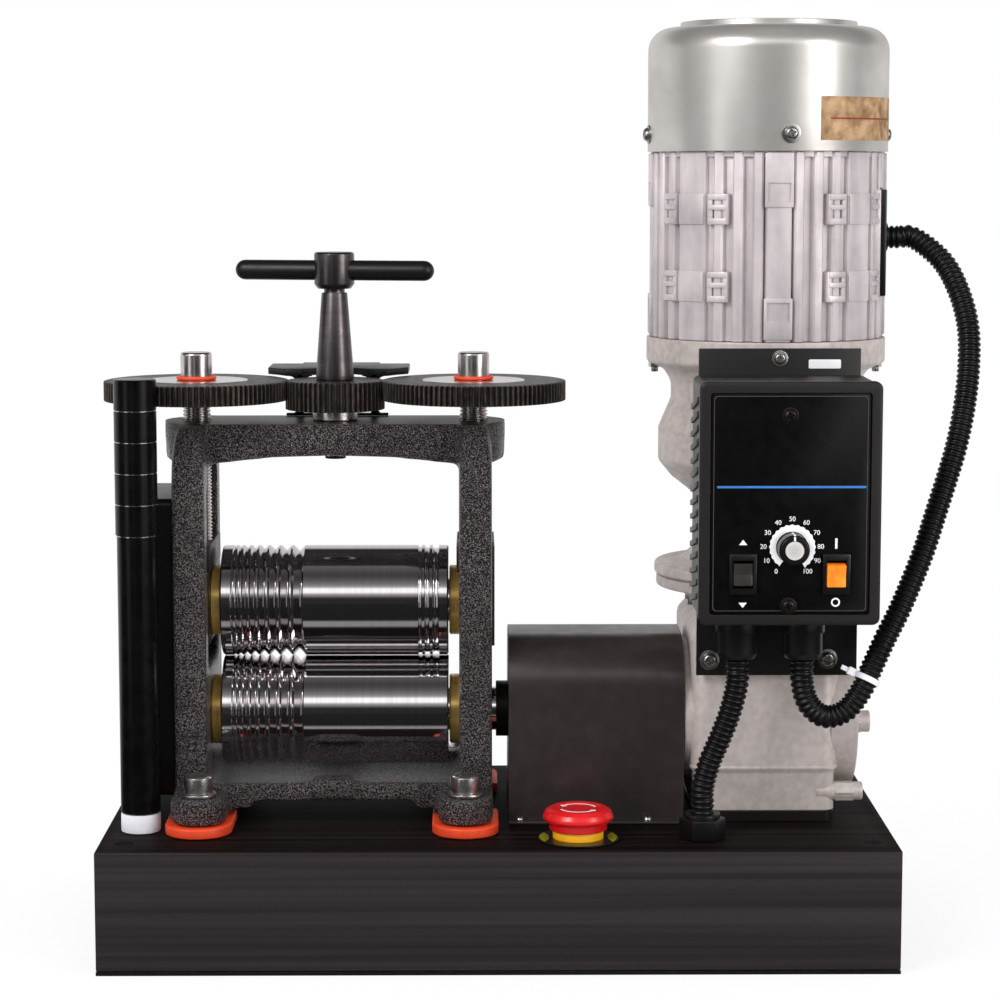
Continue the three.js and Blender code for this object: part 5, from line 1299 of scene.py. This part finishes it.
def makeTie():
    # the white band that holds the long hose's first bend
    one, other = (Vector(point) for point in hoses["motor"][6:8])
    line = [(6.55, -1.6), (7.5, -1.6), (7.5, 1.6), (6.55, 1.6)]
    band = joined(lathe(line, sides=48, steps=2, loop=True),
                  block((-11.5, -6.5), (-1.8, 1.8), (-2.2, 2.2), 0.5),
                  block((-15.5, -11), (-0.5, 0.5), (-1.3, 1.3), 0.2))
    turn = Vector((0, 0, 1)).rotation_difference((other - one).normalized()).to_matrix().to_4x4()
    down = Matrix.Translation((0, 0, -deck * mm))
    band.transform(Matrix.Translation(metres([(one + other) / 2])[0]) @ turn @ down)
    piece("hoseTie", band, nylon)


# Emergency stop

stop = {"at": (44, -82), "label": (21.4, 16.4), "arrow": (9.6, 10.6), "arrowZ": (17.45, 17.62)}


def makeStop():
    at = stop["at"]
    collar = lathe([(0, 1), (14, 1), (14, 5.7, 0.3), (0, 5.7)], at, sides=64, steps=2)
    piece("stopCollar", collar, stopYellow, "estop_collar")
    disc = turned([(0, 0.3), (22.3, 0.3), (22.5, 0.5), (22.5, 1.0), (22.3, 1.2), (0, 1.2)], at, sides=64)
    piece("stopDisc", disc, softBlack)
    wide, narrow = stop["label"]
    wedges = [
        plate([arc(at, wide, turn - 30, turn + 30, 24) + arc(at, narrow, turn + 12, turn - 12, 10)],
              (1.15, 1.35), edge=0.02, steps=1)
        for turn in (0, 180)
    ]
    piece("stopLabel", joined(*wedges), printGreen)
    arrows = []
    inner, outer = stop["arrow"]
    for start in (20, 200):
        tip, end = start + 134, start + 120
        head = [arc(at, r, turn, turn, 1)[0] for r, turn in ((12.4, end), (10.1, tip), (7.9, end))]
        outline = arc(at, outer, start, end, 24) + head + arc(at, inner, end, start, 24)
        arrows.append(plate([outline], stop["arrowZ"], edge=0.02, steps=1))
    piece("stopArrows", joined(*arrows), printWhite, body="stop_button")
    stem = [(0, -14), (4.9, -14), (4.9, 12.5), (2.9, 12.5), (2.9, 14.5), (0, 14.5)]
    stem = lathe(stem, at, sides=40, edge=0.2, steps=2)
    piece("stopStem", stem, softBlack, "estop_plunger", body="stop_plunger")
    line = [(14.6, 6), (15.6, 6), (16, 6.4), (16, 10), (16.3, 10.7, 0.3), (18.6, 11, 0.6), (19.5, 12.4, 0.8),
            (19.4, 13.8, 1), (18.2, 16.4, 1.6), (15.4, 18, 1.5), (13, 18, 0.6), (12.4, 17.5, 0.5), (0, 17.5)]
    hollow = [(0, 9.9), (14.6, 9.9)]
    head = turned(filleted(line, 0.3) + hollow, at, sides=80, loop=True)
    piece("stopButton", head, stopRed, "estop_button", body="stop_button")


makeControlBox()
makeSwitches()
makePrints()
makeGlands()
makeTie()
makeStop()
print("controls made")

# Studio

studio = {
    "floor": (0.93, 0.93, 0.93, 1), "world": 0.82, "aim": (0, 0, 0.2),
    "lamps": {"key": (0.9, 0.9, 26, (-1.3, -1.5, 1.5)), "fill": (0.8, 1.2, 15, (1.6, -1.3, 0.8)),
              "top": (1.2, 0.8, 6, (0, -0.2, 2.0))},
    # what polished faces mirror: degrees from straight ahead, over the machine to its back, and how bright
    "sky": ((-180, 0.8), (-20, 0.03), (12, 0.03), (20, 0.5), (24, 1.5), (31, 1.5), (35, 0.5), (40, 0.28),
            (48, 0.15), (57, 0.08), (64, 0.07), (75, 0.12), (84, 0.16), (90, 0.03), (140, 0.03), (150, 0.7),
            (180, 0.8)),
    # how bright the floor looks to them, by metres from the base
    "ground": ((0, 0.05), (0.06, 0.05), (0.08, 0.34), (0.14, 0.34), (0.18, 0.02), (1, 0.02)),
    # upright screens that only mirrors see: turn, distance, width and brightness
    "cards": ((-50, 1.3, 0.34, 0.95), (-16, 1.5, 0.12, 0.5), (34, 1.3, 0.3, 0.9), (62, 1.2, 0.1, 0.7)),
    "cardTop": 1.2, "floorHalf": 30,
}
white = (1, 1, 1, 1)


def ramp(tree, value, stops, start, end):
    made = put(tree, "ValToRGB", {"Fac": ranged(tree, value, 0, 1, start, end)})
    elements = made.color_ramp.elements
    while len(elements) > 1:
        elements.remove(elements[-1])
    for i, (at, bright) in enumerate(stops):
        share = (at - start) / (end - start)
        mark = elements[0] if i == 0 else elements.new(share)
        mark.position, mark.color = share, (bright, bright, bright, 1)
    return made.outputs["Color"]


def glow(tree, shade, strength=1.0):
    return put(tree, "Emission", {"Color": shade, "Strength": strength}).outputs[0]


def staged(name, points, turn=0.0):
    # one flat face of the studio, with an empty material
    made = bpy.data.materials.new(name)
    mesh = bpy.data.meshes.new(name)
    mesh.from_pydata(points, [], [(0, 1, 2, 3)])
    mesh.transform(Matrix.Rotation(math.radians(turn), 4, "Z"))
    mesh.materials.append(made)
    face = bpy.data.objects.new(name, mesh)
    scene.collection.objects.link(face)
    return face, emptyTree(made)


def makeFloor():
    far = studio["floorHalf"]
    tree = staged("floor", [(-far, -far, 0), (far, -far, 0), (far, far, 0), (-far, far, 0)])[1]
    rays = put(tree, "LightPath").outputs
    place = put(tree, "SeparateXYZ", {0: ownPlace(tree)}).outputs
    past = [
        maths(tree, "POWER",
              maths(tree, "MAXIMUM", maths(tree, "SUBTRACT", maths(tree, "ABSOLUTE", along), half * mm)), 2.0)
        for along, half in zip(place, base["half"])
    ]
    away = maths(tree, "SQRT", maths(tree, "ADD", *past))
    matt = put(tree, "BsdfDiffuse", {"Color": studio["floor"]}).outputs[0]
    share = maths(tree, "MULTIPLY", rays["Is Camera Ray"], ranged(tree, away, 0.8, 1.0, 0.0, 0.3))
    seen = put(tree, "MixShader", {0: share, 1: matt, 2: glow(tree, white)}).outputs[0]
    front = ramp(tree, away, studio["ground"], 0, 1)
    mirrored = mixColours(tree, ranged(tree, place[1], 0, 1, 0.1, 0.5), front, (0.85, 0.85, 0.85, 1))
    whole = put(tree, "MixShader", {0: rays["Is Glossy Ray"], 1: seen, 2: glow(tree, mirrored)}).outputs[0]
    put(tree, "OutputMaterial", {"Surface": whole})


def makeWorld():
    world = scene.world = bpy.data.worlds.new("studio")
    tree = emptyTree(world)
    rays = put(tree, "LightPath").outputs
    way = put(tree, "SeparateXYZ", {0: put(tree, "TexCoord").outputs["Generated"]}).outputs
    angle = maths(tree, "DEGREES", maths(tree, "ARCTAN2", way[2], maths(tree, "MULTIPLY", way[1], -1.0)))
    plain = ranged(tree, rays["Is Camera Ray"], studio["world"], 1.0)
    plain = put(tree, "CombineColor", {0: plain, 1: plain, 2: plain}).outputs[0]
    light = mixColours(tree, rays["Is Glossy Ray"], plain, ramp(tree, angle, studio["sky"], -180, 180))
    put(tree, "OutputWorld", {"Surface": put(tree, "Background", {"Color": light}).outputs[0]})


def makeCards():
    for turn, far, wide, bright in studio["cards"]:
        left, right, top = -wide / 2, wide / 2, studio["cardTop"]
        points = [(left, -far, 0), (right, -far, 0), (right, -far, top), (left, -far, top)]
        card, tree = staged("screen", points, turn)
        put(tree, "OutputMaterial", {"Surface": glow(tree, white, bright)})
        card.visible_camera = card.visible_diffuse = card.visible_shadow = card.visible_transmission = False


def makeLamps():
    for name, (wide, tall, power, place) in studio["lamps"].items():
        lamp = bpy.data.lights.new(name, "AREA")
        lamp.shape, lamp.size, lamp.size_y, lamp.energy = "RECTANGLE", wide, tall, power
        holder = bpy.data.objects.new(name, lamp)
        scene.collection.objects.link(holder)
        holder.location = place
        holder.visible_glossy = name != "top"
        holder.rotation_euler = (Vector(studio["aim"]) - Vector(place)).to_track_quat("-Z", "Y").to_euler()


makeFloor()
makeWorld()
makeCards()
makeLamps()
print("studio made")
